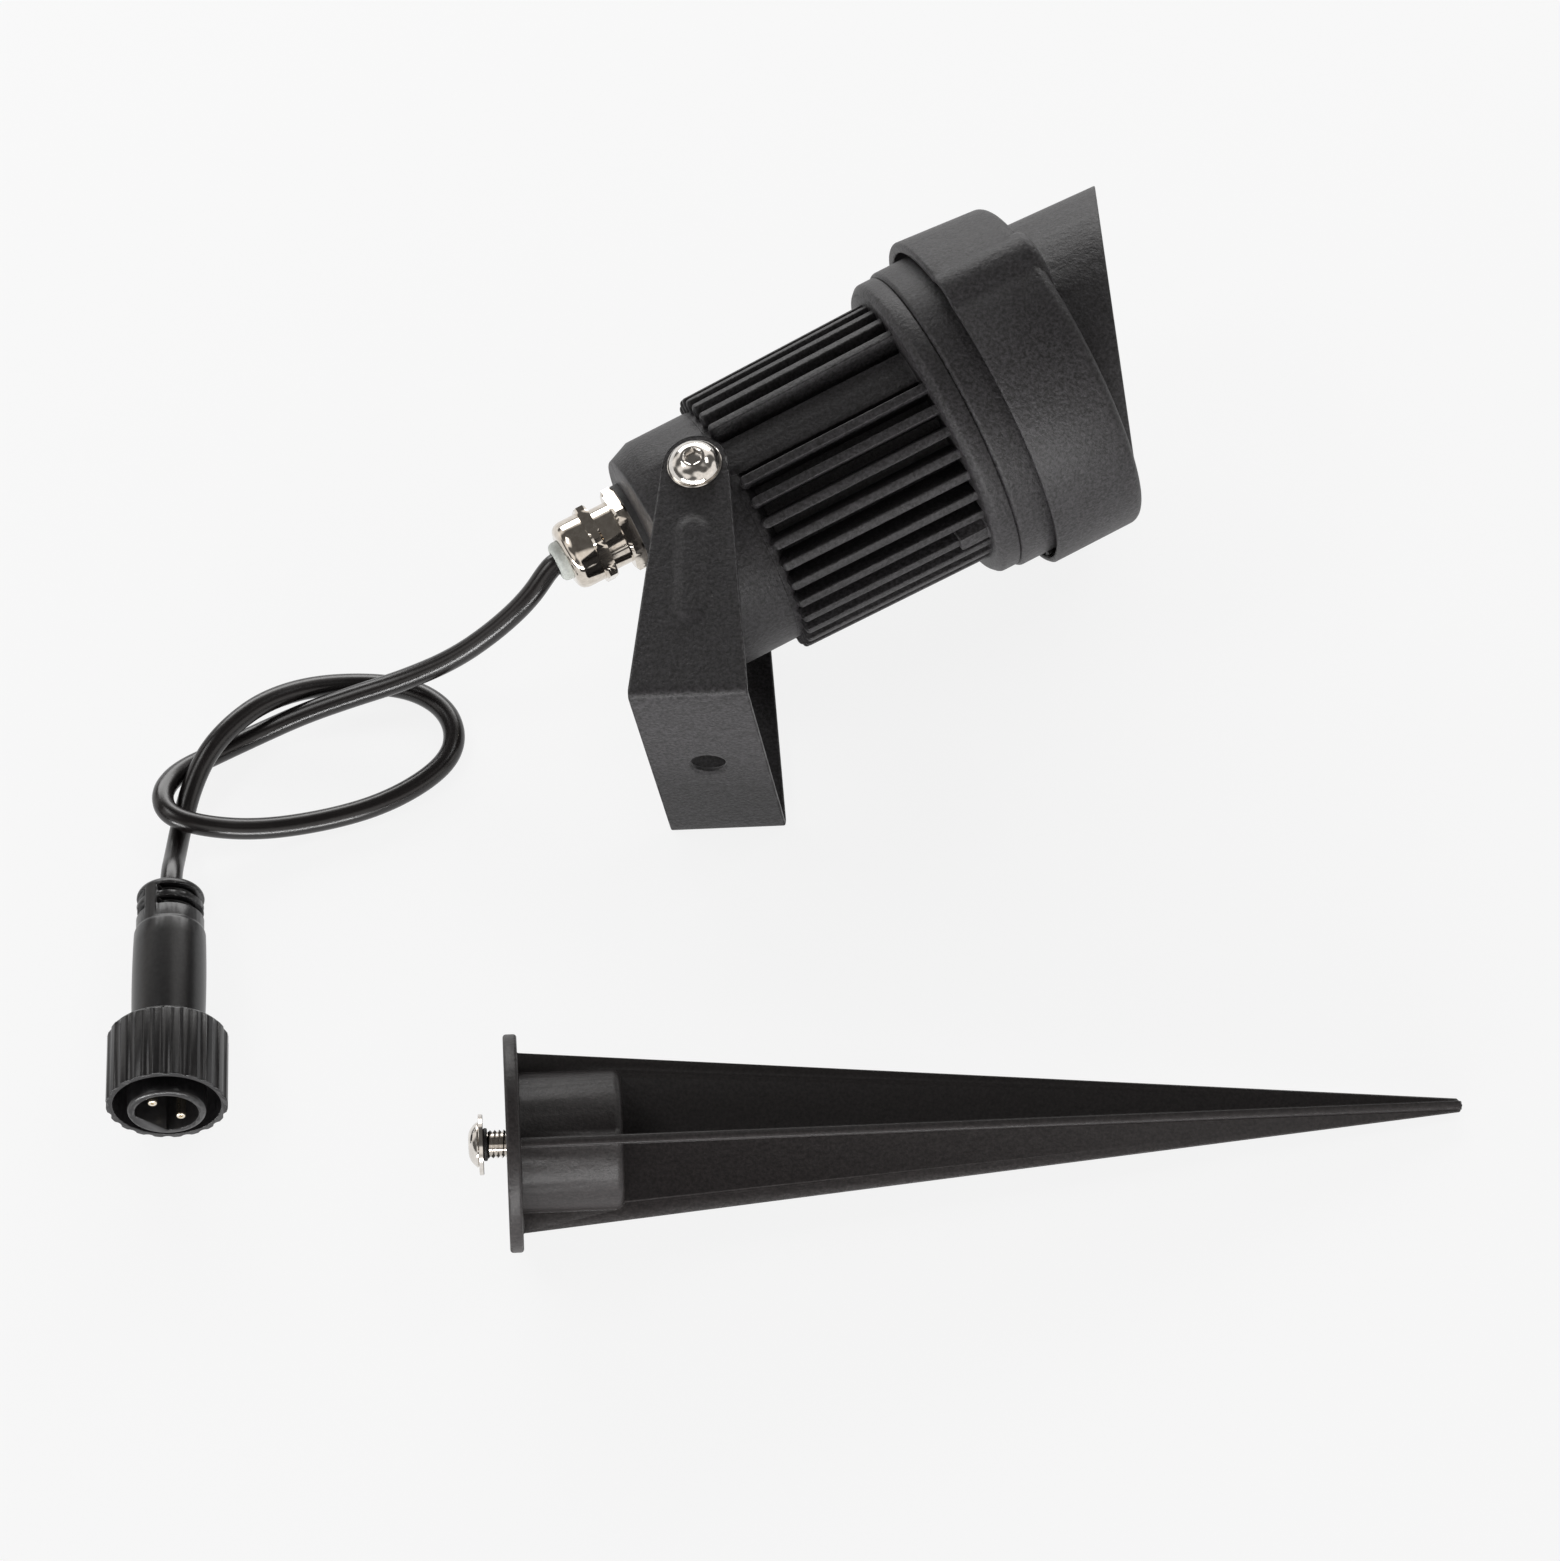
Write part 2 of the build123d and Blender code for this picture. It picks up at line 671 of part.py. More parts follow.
with BuildPart() as gland_body:
    with BuildSketch(Plane.XY.offset(-gland_thread_inside)):
        Circle(gland_thread_r)
    extrude(amount=gland_thread_inside + flange_start)
    with BuildSketch(Plane.XY.offset(flange_start)):
        RegularPolygon(gland_flats / 2, 6, major_radius=False, rotation=gland_body_turn)
    extrude(amount=gland_flange)
    with BuildSketch(Plane.XY.offset(barrel_start)):
        Circle(gland_thread_r)
    extrude(amount=gland_barrel)
    with BuildSketch(Plane.XY.offset(nut_hex_start)):
        Circle(gland_sleeve_r)
    extrude(amount=gland_nut_hex + gland_nut_body - 0.6)
    with BuildSketch(Plane.XY.offset(-gland_thread_inside)):
        Circle(gland_bore_r)
    extrude(amount=gland_thread_inside + dome_start, mode=Mode.SUBTRACT)
gland_body.part.label = "gland_body"
gland_body.part.move(gland_frame.location)
export_step(gland_body.part, "parts/gland_body.step")

with BuildPart() as gland_nut:
    with BuildSketch(Plane.XZ):
        with BuildLine():
            Polyline(
                (gland_sleeve_r + seat_gap, nut_hex_start),
                (gland_nut_r, nut_hex_start),
                (gland_nut_r, dome_start),
                (gland_dome_r + 0.5, gland_end),
                (gland_bore_r + seat_gap, gland_end),
                (gland_bore_r + seat_gap, dome_start - 0.5),
                (gland_sleeve_r + seat_gap, dome_start - 0.5),
                close=True,
            )
        make_face()
    revolve(axis=Axis.Z)
    with BuildSketch(Plane.XY.offset(nut_hex_start)):
        RegularPolygon(gland_flats / 2, 6, major_radius=False, rotation=gland_body_turn + gland_nut_turn)
        Circle(gland_sleeve_r + seat_gap, mode=Mode.SUBTRACT)
    extrude(amount=gland_nut_hex)
gland_nut.part.label = "gland_nut"
gland_nut.part.move(gland_frame.location)
export_step(gland_nut.part, "parts/gland_nut.step")

with BuildPart() as gland_seal:
    with BuildSketch(Plane.XY.offset(seal_end - gland_seal_inside)):
        Circle(gland_bore_r - seat_gap)
        Circle(seal_bore_r, mode=Mode.SUBTRACT)
    extrude(amount=gland_seal_inside)
    chamfer(gland_seal.edges().group_by(Axis.Z)[-1].sort_by(SortBy.RADIUS)[-1], length=0.6)
gland_seal.part.label = "gland_seal"
gland_seal.part.move(gland_frame.location)
export_step(gland_seal.part, "parts/gland_seal.step")


# ================================================================ bracket
# One strip of sheet steel, blanked to a taper, ribbed by pressing and folded twice.
with BuildPart() as bracket:
    with BuildSketch(Plane.XY.offset(-bracket_width / 2)):
        Circle(arm_end_r)
        with Locations((0, -bracket_reach + bend_r / 2)):
            Rectangle(bracket_breadth, bend_r)
        make_hull()
    extrude(amount=bracket_width)
    fillet(bracket.edges().filter_by(Axis.X), radius=bend_r)
    with BuildSketch(Plane.YZ.offset(-bracket_breadth)):
        with Locations(((arm_end_r + 1 - bracket_reach + sheet) / 2, 0)):
            RectangleRounded(bracket_reach + arm_end_r + 1 - sheet, bracket_width - 2 * sheet, bend_r - sheet)
        with Locations((arm_end_r, 0)):
            Rectangle(2 * bend_r, bracket_width - 2 * sheet)
    extrude(amount=2 * bracket_breadth, mode=Mode.SUBTRACT)
    rib_length = arm_rib_bottom - arm_rib_top
    for side in (1, -1):
        with BuildSketch(Plane.XY.offset(side * bracket_width / 2)):
            with Locations((0, -(arm_rib_top + arm_rib_bottom) / 2)):
                SlotOverall(rib_length, arm_rib_width, rotation=90)
        extrude(amount=side * arm_rib_height, taper=30)
        with BuildSketch(Plane.XY.offset(side * arm_inner)):
            with Locations((0, -(arm_rib_top + arm_rib_bottom) / 2)):
                SlotOverall(rib_length - 2 * sheet, arm_rib_width - 2 * sheet, rotation=90)
        extrude(amount=side * arm_rib_height, mode=Mode.SUBTRACT)
    with BuildSketch(Plane.XY.offset(-bracket_width / 2)):
        Circle(pivot_shank_r + running_gap)
    extrude(amount=bracket_width, mode=Mode.SUBTRACT)
    with BuildSketch(Plane.XZ.offset(bracket_reach)):
        Circle(base_hole_r)
    extrude(amount=-sheet, mode=Mode.SUBTRACT)
bracket.part.label = "bracket"
bracket.part.move(lamp_frame.location)
export_step(bracket.part, "parts/bracket.step")

# Button-head screws go through the arms into the housing, each over a thin washer.
head_start = bracket_width / 2 + swing_gap + pivot_washer
with BuildPart() as pivot_screws:
    with BuildSketch(Plane.XZ):
        with BuildLine():
            shank = Polyline(
                (0, head_start + pivot_head),
                (0, arm_inner - pivot_thread_depth),
                (pivot_shank_r - 0.4, arm_inner - pivot_thread_depth),
                (pivot_shank_r, arm_inner - pivot_thread_depth + 0.4),
                (pivot_shank_r, head_start),
                (pivot_head_r, head_start),
                (pivot_head_r, head_start + 0.4),
            )
            crown = ThreePointArc(
                shank @ 1,
                (pivot_head_r * 0.78, head_start + pivot_head * 0.68),
                (pivot_crown_r, head_start + pivot_head),
            )
            Line(crown @ 1, shank @ 0)
        make_face()
    revolve(axis=Axis.Z)
    with BuildSketch(Plane.XY.offset(head_start + pivot_head)):
        RegularPolygon(pivot_socket / 2, 6, major_radius=False)
    extrude(amount=-pivot_socket_depth, mode=Mode.SUBTRACT)
    mirror(about=Plane.XY)
pivot_screws.part.label = "pivot_screws"
pivot_screws.part.move(lamp_frame.location)
export_step(pivot_screws.part, "parts/pivot_screws.step")

with BuildPart() as pivot_washers:
    for side in (1, -1):
        with BuildSketch(Plane.XY.offset(side * (head_start - pivot_washer))):
            Circle(pivot_washer_r)
            Circle(pivot_shank_r + seat_gap, mode=Mode.SUBTRACT)
        extrude(amount=side * pivot_washer)
pivot_washers.part.label = "pivot_washers"
pivot_washers.part.move(lamp_frame.location)
export_step(pivot_washers.part, "parts/pivot_washers.step")


# ================================================================ ground spike and its screw
# Flange, hub and four tapered blades, moulded as one.
with BuildPart() as spike:
    with BuildSketch(Plane.XY.offset(-flange_thickness)):
        Circle(flange_r)
    extrude(amount=flange_thickness)
    fillet(spike.edges().filter_by(GeomType.CIRCLE), radius=flange_round)
    with BuildSketch():
        Circle(hub_r)
    extrude(amount=hub_length)
    fillet(spike.edges().filter_by(GeomType.CIRCLE).sort_by(Axis.Z)[-1], radius=hub_round)
    for blade_plane in (Plane.XZ, Plane.YZ):
        with BuildSketch(blade_plane.offset(-blade_thickness / 2)):
            with BuildLine():
                Polyline(
                    (-blade_half_width, -root_overlap),
                    (blade_half_width, -root_overlap),
                    (blade_tip_half_width, spike_length - tip_cut / 2),
                    (0, spike_length),
                    (-blade_tip_half_width, spike_length - tip_cut),
                    close=True,
                )
            make_face()
        extrude(amount=blade_thickness)
    with BuildSketch(Plane.XY.offset(-flange_thickness)):
        Circle(screw_r + seat_gap)
    extrude(amount=flange_thickness + spike_hole_depth, mode=Mode.SUBTRACT)
spike.part.label = "ground_spike"
spike.part.move(spike_frame.location)
export_step(spike.part, "parts/ground_spike.step")

head_under = -flange_thickness - screw_proud
with BuildPart() as spike_screw:
    with BuildSketch(Plane.XZ):
        with BuildLine():
            shank = Polyline(
                (0, head_under - screw_head),
                (0, head_under + screw_length),
                (screw_r - 0.5, head_under + screw_length),
                (screw_r, head_under + screw_length - 0.5),
                (screw_r, head_under),
                (screw_head_r, head_under),
                (screw_head_r, head_under - 0.2),
            )
            crown = ThreePointArc(
                shank @ 1,
                (screw_head_r * 0.72, head_under - screw_head * 0.72),
                (screw_head_r * 0.36, head_under - screw_head),
            )
            Line(crown @ 1, shank @ 0)
        make_face()
    revolve(axis=Axis.Z)
    with BuildSketch(Plane.XY.offset(head_under - screw_head)):
        RegularPolygon(screw_socket / 2, 6, major_radius=False)
    extrude(amount=screw_head * 0.6, mode=Mode.SUBTRACT)
spike_screw.part.label = "spike_screw"
spike_screw.part.move(spike_frame.location)
export_step(spike_screw.part, "parts/spike_screw.step")

with BuildPart() as spike_washer:
    with BuildSketch(Plane.XY.offset(head_under + seat_gap)):
        Circle(washer_r)
        Circle(screw_r + running_gap, mode=Mode.SUBTRACT)
    extrude(amount=washer_thickness)
spike_washer.part.label = "spike_washer"
spike_washer.part.move(spike_frame.location)
export_step(spike_washer.part, "parts/spike_washer.step")

with BuildPart() as washer_keeper:
    with BuildSketch(Plane.XY.offset(head_under + seat_gap + washer_thickness)):
        Circle(keeper_r)
        Circle(screw_r + running_gap, mode=Mode.SUBTRACT)
    extrude(amount=keeper_thickness)
washer_keeper.part.label = "washer_keeper"
washer_keeper.part.move(spike_frame.location)
export_step(washer_keeper.part, "parts/washer_keeper.step")


# ================================================================ cord connector
retainer_start = nut_start + nut_rear_wall + nut_float
insert_start = retainer_start + retainer_thickness
insert_end = connector_length + insert_proud
pin_floor = insert_start + insert_floor

# Strain relief and body in one moulding, with a flange at the front that keeps the coupling nut on.
with BuildPart() as connector_body:
    with BuildSketch(Plane.XZ):
        with BuildLine():
            rear = Line((0, 0), (relief_r - relief_round, 0))
            shoulder = ThreePointArc(
                rear @ 1, (relief_r - relief_round * 0.3, relief_round * 0.3), (relief_r, relief_round)
            )
            step = Polyline(
                shoulder @ 1,
                (relief_r, relief_length),
                (body_r, relief_length + body_r - relief_r),
            )
            belly = ThreePointArc(
                step @ 1, (body_r + body_belly, (relief_length + nut_start) / 2), (body_r, nut_start - 0.5)
            )
            Polyline(
                belly @ 1,
                (body_r, retainer_start),
                (retainer_r, retainer_start),
                (retainer_r, insert_start),
                (0, insert_start),
                rear @ 0,
            )
        make_face()
    revolve(axis=Axis.Z)
    for row in range(slot_count):
        with BuildSketch(Plane.XY.offset(slot_first + slot_pitch * row)):
            Circle(relief_r + 1)
            Circle(slot_floor_r, mode=Mode.SUBTRACT)
            Rectangle(slot_rib, 3 * relief_r, rotation=slot_rib_turn, mode=Mode.SUBTRACT)
        extrude(amount=slot_height, mode=Mode.SUBTRACT)
    with BuildSketch():
        Circle(cord_r + cord_gap)
    extrude(amount=cord_in_connector + 0.1, mode=Mode.SUBTRACT)
connector_body.part.label = "connector_body"
connector_body.part.move(connector_frame.location)
export_step(connector_body.part, "parts/connector_body.step")

with BuildPart() as connector_nut:
    with BuildSketch(Plane.XY.offset(nut_start)):
        Circle(nut_r)
        with PolarLocations(nut_r + flute_r - flute_depth, nut_flutes, start_angle=360 / nut_flutes / 2):
            Circle(flute_r, mode=Mode.SUBTRACT)
    extrude(amount=nut_length)
    # rear shoulder
    with BuildSketch(Plane.XZ):
        with BuildLine():
            Polyline(
                (nut_r - nut_chamfer, nut_start),
                (nut_r + 1, nut_start),
                (nut_r + 1, nut_start + nut_chamfer + 1),
                close=True,
            )
        make_face()
    revolve(axis=Axis.Z, mode=Mode.SUBTRACT)
    with BuildSketch(Plane.XY.offset(nut_start)):
        Circle(body_r + running_gap)
    extrude(amount=nut_length, mode=Mode.SUBTRACT)
    with BuildSketch(Plane.XY.offset(nut_start + nut_rear_wall)):
        Circle(nut_bore_r)
    extrude(amount=nut_length, mode=Mode.SUBTRACT)
connector_nut.part.label = "coupling_nut"
connector_nut.part.move(connector_frame.location)
export_step(connector_nut.part, "parts/coupling_nut.step")

pin_x = pin_spacing / 2 * cos(radians(pin_turn))
pin_y = pin_spacing / 2 * sin(radians(pin_turn))
with BuildPart() as connector_insert:
    with BuildSketch(Plane.XY.offset(insert_start)):
        Circle(insert_r)
    extrude(amount=insert_end - insert_start)
    chamfer(connector_insert.edges().group_by(Axis.Z)[-1], length=0.4)
    with BuildSketch(Plane.XY.offset(pin_floor)):
        Circle(insert_bore_r)
        with Locations(Location((0, 0, 0), (0, 0, pin_turn))):
            with Locations((0, -key_offset - insert_bore_r / 2)):
                Rectangle(2 * insert_bore_r, insert_bore_r, mode=Mode.SUBTRACT)
    extrude(amount=insert_end - pin_floor, mode=Mode.SUBTRACT)
    with BuildSketch(Plane.XY.offset(insert_start)):
        with Locations((pin_x, pin_y), (-pin_x, -pin_y)):
            Circle(pin_r + seat_gap)
    extrude(amount=insert_floor, mode=Mode.SUBTRACT)
connector_insert.part.label = "connector_insert"
connector_insert.part.move(connector_frame.location)
export_step(connector_insert.part, "parts/connector_insert.step")

with BuildPart() as connector_pins:
    with BuildSketch(Plane.XY.offset(insert_start)):
        with Locations((pin_x, pin_y), (-pin_x, -pin_y)):
            Circle(pin_r)
    extrude(amount=insert_end - pin_recess - insert_start)
    fillet(connector_pins.edges().group_by(Axis.Z)[-1], radius=pin_r * 0.6)
connector_pins.part.label = "connector_pins"
connector_pins.part.move(connector_frame.location)
export_step(connector_pins.part, "parts/connector_pins.step")

with BuildPart() as connector_oring:
    with BuildSketch(Plane.XZ):
        with Locations((insert_r + seat_gap + oring_r, insert_start + seat_gap + oring_r)):
            Circle(oring_r)
    revolve(axis=Axis.Z)
connector_oring.part.label = "connector_oring"
connector_oring.part.move(connector_frame.location)
export_step(connector_oring.part, "parts/connector_oring.step")


# ================================================================ cord
# It leaves the gland, lies in one loose loop that crosses over itself, and enters the connector.
def spot(frame, z):
    return frame.location.position + frame.z_dir * z


# points on the cord's route across the table, from the point under the hinge
laid_route = [
    (-33.6, -9.1, 23.4),
    (-40.2, -12.4, 18.8),
    (-49.1, -15.0, 13.7),
    (-59.1, -16.7, 9.3),
    (-69.0, -18.3, 6.6),
    (-78.3, -20.3, 4.2),
    (-87.0, -23.3, cord_floor),
    (-94.9, -27.6, cord_floor),
    (-101.0, -32.3, 3.8),
    (-103.0, -38.3, 6.4),
    (-101.0, -43.6, 7.5),
    (-94.2, -45.4, 6.3),
    (-84.9, -44.7, 3.6),
    (-74.1, -42.3, cord_floor),
    (-63.7, -39.3, cord_floor),
    (-55.5, -34.5, cord_floor),
    (-50.5, -29.1, cord_floor),
    (-49.8, -23.3, cord_floor),
    (-52.7, -17.7, cord_floor),
    (-59.2, -13.7, cord_floor),
    (-68.2, -12.9, 2.7),
    (-77.4, -14.9, 5.0),
    (-85.0, -19.1, 7.1),
    (-90.6, -24.4, 7.7),
    (-94.8, -29.9, 7.1),
    (-97.8, -35.7, 4.4),
    (-99.5, -42.4, cord_floor),
    (-99.7, -50.0, 3.8),
]
laid_points = [Vector(hinge_x + x, hinge_y + y, z) for x, y, z in laid_route]
cord_start = spot(gland_frame, seal_end - cord_in_gland)
cord_leaves = spot(gland_frame, seal_end + 1.5 * cord_r)
cord_enters = spot(connector_frame, -2 * cord_r)
cord_finish = spot(connector_frame, cord_in_connector)
cord_route = [cord_start, cord_leaves] + laid_points + [cord_enters, cord_finish]
cord_radii = []
for before, here, after in zip(cord_route, cord_route[1:], cord_route[2:]):
    half_turn = radians((here - before).get_angle(after - here)) / 2
    shorter = min((here - before).length, (after - here).length)
    cord_radii.append(0.45 * shorter / tan(half_turn))
print("cord bend radii:", [round(radius, 1) for radius in cord_radii])

with BuildPart() as cord:
    with BuildLine() as cord_line:
        FilletPolyline(*cord_route, radius=cord_radii)
    with BuildSketch(Plane(origin=cord_line.line @ 0, z_dir=cord_line.line % 0)):
        Circle(cord_r)
    sweep()
cord_length = sum(edge.length for edge in cord_line.edges())
cord_ideal = cord_length * pi * cord_r**2
print("cord length:", round(cord_length, 1), "volume against section times length:",
      round(cord.part.volume / cord_ideal, 4))
cord.part.label = "cord"
export_step(cord.part, "parts/cord.step")
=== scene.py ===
import json
from math import acos, atan2, cos, hypot, pi, radians, sin

import bmesh
import bpy
from mathutils import Matrix, Vector


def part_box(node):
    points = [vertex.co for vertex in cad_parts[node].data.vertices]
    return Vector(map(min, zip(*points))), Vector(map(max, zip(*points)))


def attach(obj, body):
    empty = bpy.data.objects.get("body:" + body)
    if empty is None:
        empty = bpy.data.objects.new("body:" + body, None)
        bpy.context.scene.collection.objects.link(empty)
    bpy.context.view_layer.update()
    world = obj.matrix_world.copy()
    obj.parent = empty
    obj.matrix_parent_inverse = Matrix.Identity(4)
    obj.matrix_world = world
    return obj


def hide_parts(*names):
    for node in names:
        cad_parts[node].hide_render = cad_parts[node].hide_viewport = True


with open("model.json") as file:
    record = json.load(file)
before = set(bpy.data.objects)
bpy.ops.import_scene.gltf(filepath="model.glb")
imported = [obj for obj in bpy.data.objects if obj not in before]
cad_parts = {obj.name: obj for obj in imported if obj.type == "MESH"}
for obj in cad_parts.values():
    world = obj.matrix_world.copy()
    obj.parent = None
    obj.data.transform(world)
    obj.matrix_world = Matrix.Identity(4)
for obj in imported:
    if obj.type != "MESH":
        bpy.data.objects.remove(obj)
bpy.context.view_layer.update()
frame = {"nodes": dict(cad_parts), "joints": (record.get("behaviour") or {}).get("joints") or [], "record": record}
nodes = frame["nodes"]

# ---------------------------------------------------------------- lie of the lamp on the table
# The lamp lies on its side, with the axis of its tilting bracket nearly upright. Everything on the head is
# measured along the lamp's own axis, from that hinge towards the hood, and the spike from its flange.
mm = 0.001
joints = {joint["name"]: joint for joint in frame["joints"]}
mounts = {mount["name"]: mount for mount in frame["record"]["mounts"]}


def middle(node):
    """The middle of a CAD node's box, which for a disc or ring is its centre."""
    low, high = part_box(node)
    return (low + high) / 2


def placed(origin, x_dir, z_dir):
    """A matrix that puts a piece's own frame at a place in the row's frame."""
    z_dir = z_dir.normalized()
    y_dir = z_dir.cross(x_dir).normalized()
    matrix = Matrix((y_dir.cross(z_dir), y_dir, z_dir)).transposed().to_4x4()
    matrix.translation = origin
    return matrix


hinge = Vector(joints["bracket_tilt"]["pos_m"])
hinge_axis = Vector(joints["bracket_tilt"]["axis"])
lamp_axis = (middle("front_glass") - hinge).normalized()
head = placed(hinge, hinge_axis.cross(lamp_axis), lamp_axis)
fork_foot = -Vector(mounts["bracket_base_hole"]["axis"])
fork = placed(hinge, fork_foot.cross(hinge_axis), hinge_axis)
spike_axis = Vector(joints["screw_turn"]["axis"])
flange_thickness = 2.4 * mm
screw_proud = 4.8 * mm
spike_top = Vector(joints["screw_turn"]["pos_m"]) + spike_axis * (flange_thickness + screw_proud)
spike_seat = placed(spike_top, Vector((0, 0, 1)), spike_axis)
connector_axis = Vector(joints["nut_turn"]["axis"])
nut_start = 30.6 * mm
connector_rear = Vector(joints["nut_turn"]["pos_m"]) - connector_axis * nut_start
connector_seat = placed(connector_rear, Vector((0, 0, 1)).cross(connector_axis), connector_axis)


# ---------------------------------------------------------------- powder-coated castings and sheet
# The housing, bezel and hood are aluminium die castings and the bracket is folded sheet steel. All wear one
# polyester powder coat with a fine sand texture, which scatters light and rounds every edge by about a third of a
# millimetre. Its grain is drawn a little coarser than the real one, so that it shows.
def linear(colour):
    """An sRGB hex colour as linear red, green, blue and alpha."""
    parts = [int(colour[at : at + 2], 16) / 255 for at in (1, 3, 5)]
    return tuple(c / 12.92 if c <= 0.04045 else ((c + 0.055) / 1.055) ** 2.4 for c in parts) + (1.0,)


def add(tree, kind, inputs, **settings):
    """Adds a node with its settings, input values and links."""
    made = tree.nodes.new(kind)
    for name, value in settings.items():
        setattr(made, name, value)
    for name, value in inputs.items():
        if isinstance(value, bpy.types.NodeSocket):
            tree.links.new(value, made.inputs[name])
        else:
            made.inputs[name].default_value = value
    return made


def surface(name, **values):
    """A new material, with plain values set on its shader's sockets."""
    material = bpy.data.materials.new(name)
    material.use_nodes = True
    shader = material.node_tree.nodes["Principled BSDF"]
    for socket, value in values.items():
        shader.inputs[socket.replace("_", " ")].default_value = value
    return material, material.node_tree, shader


def grained(material_parts, dark, light, grain, depth, peel=None, peel_depth=0.0, contrast=(0.36, 0.66)):
    """Mixes two tones and raises a bump by a noise whose grain is a size in metres."""
    material, tree, shader = material_parts
    place = add(tree, "ShaderNodeTexCoord", {}).outputs["Object"]
    grit = add(tree, "ShaderNodeTexNoise", {"Vector": place, "Scale": 1 / grain, "Detail": 3.0, "Roughness": 0.62})
    tone = add(
        tree,
        "ShaderNodeMapRange",
        {"Value": grit.outputs["Fac"], "From Min": contrast[0], "From Max": contrast[1], "To Min": 0.0, "To Max": 1.0},
    )
    colour = add(
        tree,
        "ShaderNodeMix",
        {"Factor": tone.outputs["Result"], 6: linear(dark), 7: linear(light)},
        data_type="RGBA",
    )
    tree.links.new(colour.outputs[2], shader.inputs["Base Color"])
    bump = {"Height": grit.outputs["Fac"], "Strength": 1.0, "Distance": depth}
    if peel:
        waves = add(tree, "ShaderNodeTexNoise", {"Vector": place, "Scale": 1 / peel, "Detail": 2.0, "Roughness": 0.5})
        swell = add(
            tree, "ShaderNodeBump", {"Height": waves.outputs["Fac"], "Strength": 1.0, "Distance": peel_depth}
        )
        bump["Normal"] = swell.outputs[0]
    tree.links.new(add(tree, "ShaderNodeBump", bump).outputs[0], shader.inputs["Normal"])
    return material


def dress(material, *names):
    """Gives CAD nodes a material."""
    for name in names:
        for material_slot in nodes[name].material_slots:
            material_slot.material = material


def piece_of(form, name, material):
    """Makes an object at the origin from a bmesh."""
    mesh = bpy.data.meshes.new(name)
    form.to_mesh(mesh)
    form.free()
    mesh.materials.append(material)
    piece = bpy.data.objects.new(name, mesh)
    bpy.context.scene.collection.objects.link(piece)
    return piece


def settle(piece, crease=34):
    """Turns a piece's modifiers into a plain mesh, smooth but for its sharp edges."""
    mesh = bpy.data.meshes.new_from_object(piece.evaluated_get(bpy.context.evaluated_depsgraph_get()))
    piece.modifiers.clear()
    piece.data = mesh
    mesh.shade_smooth()
    mesh.set_sharp_from_angle(angle=radians(crease))


def rounded(piece, radius, steps=2, limit=30):
    """Rounds a piece's edges and settles it."""
    bevel = piece.modifiers.new("rounding", "BEVEL")
    bevel.width = radius
    bevel.segments = steps
    bevel.limit_method = "ANGLE"
    bevel.angle_limit = radians(limit)
    bevel.use_clamp_overlap = False
    bevel.harden_normals = True
    bevel.miter_outer = "MITER_ARC"
    settle(piece)


def stands_for(piece, node, body):
    """Lets a piece stand for a CAD node on a body."""
    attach(piece, body)
    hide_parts(node)


def softened(node, name, material, radius, steps=2, drop=None, limit=30):
    """A merged copy of a CAD node with its edges rounded. drop says which faces another piece takes over."""
    form = bmesh.new()
    form.from_mesh(nodes[node].data)
    bmesh.ops.remove_doubles(form, verts=form.verts, dist=0.002 * mm)
    if drop:
        gone = [face for face in form.faces if drop(face.calc_center_median())]
        bmesh.ops.delete(form, geom=gone, context="FACES")
    bmesh.ops.dissolve_limit(form, angle_limit=radians(0.6), verts=form.verts, edges=form.edges)
    piece = piece_of(form, name, material)
    rounded(piece, radius, steps, limit)
    return piece


powder_coat = grained(
    surface("sand_powder_coat", Roughness=0.48, Specular_IOR_Level=0.3),
    "#1a1919",
    "#383638",
    grain=0.6 * mm,
    depth=0.13 * mm,
    peel=1.7 * mm,
    peel_depth=0.1 * mm,
)

# ---------------------------------------------------------------- lamp housing
# One die casting: a cap with two flats for the fork, a finned core and the collar that carries the bezel.
# The fins are a little higher at the front, rounded on top and at their rear ends, and leave deep gaps.
core_r = 20.4 * mm
cap_front = 5.0 * mm
collar_start = 42.9 * mm
fin_rear = 5.6 * mm
fin_rear_r = 25.2 * mm
fin_front_r = 25.8 * mm
fin_half = 0.9 * mm
fin_round = 0.28 * mm
fin_foot = 0.5 * mm
fin_into_collar = 0.4 * mm
fin_end_drop = 1.1 * mm
fin_edge = 0.02 * mm
band_half_angle = radians(10)
gate_reach = Vector((26.6 * mm, 1.7 * mm, 36.5 * mm))
gate_angle = radians(175)
over_core = 0.1 * mm
cut_margin = 0.05 * mm
to_head = head.inverted()


def is_fin(point):
    """Whether a face of the housing belongs to a fin."""
    x, y, z = to_head @ point
    along = abs(abs(atan2(y, x)) - pi / 2)
    beside = abs(y * cos(gate_angle) - x * sin(gate_angle))
    gate = x < 0 and z > gate_reach.z and beside < gate_reach.y
    return (
        hypot(x, y) > core_r + over_core
        and cap_front + cut_margin < z < collar_start - cut_margin
        and along > band_half_angle
        and not gate
    )


housing = softened("lamp_housing", "housing_casting", powder_coat, 0.35 * mm, 3, drop=is_fin)
stands_for(housing, "lamp_housing", "root")


def skin(form, loops, closed=False):
    """Joins loops of points of equal length with faces."""
    rows = [[form.verts.new(point) for point in loop] for loop in loops]
    for one, two in zip(rows, rows[1:]):
        count = len(one)
        for step in range(count if closed else count - 1):
            after = (step + 1) % count
            form.faces.new((one[step], one[after], two[after], two[step]))
    return rows


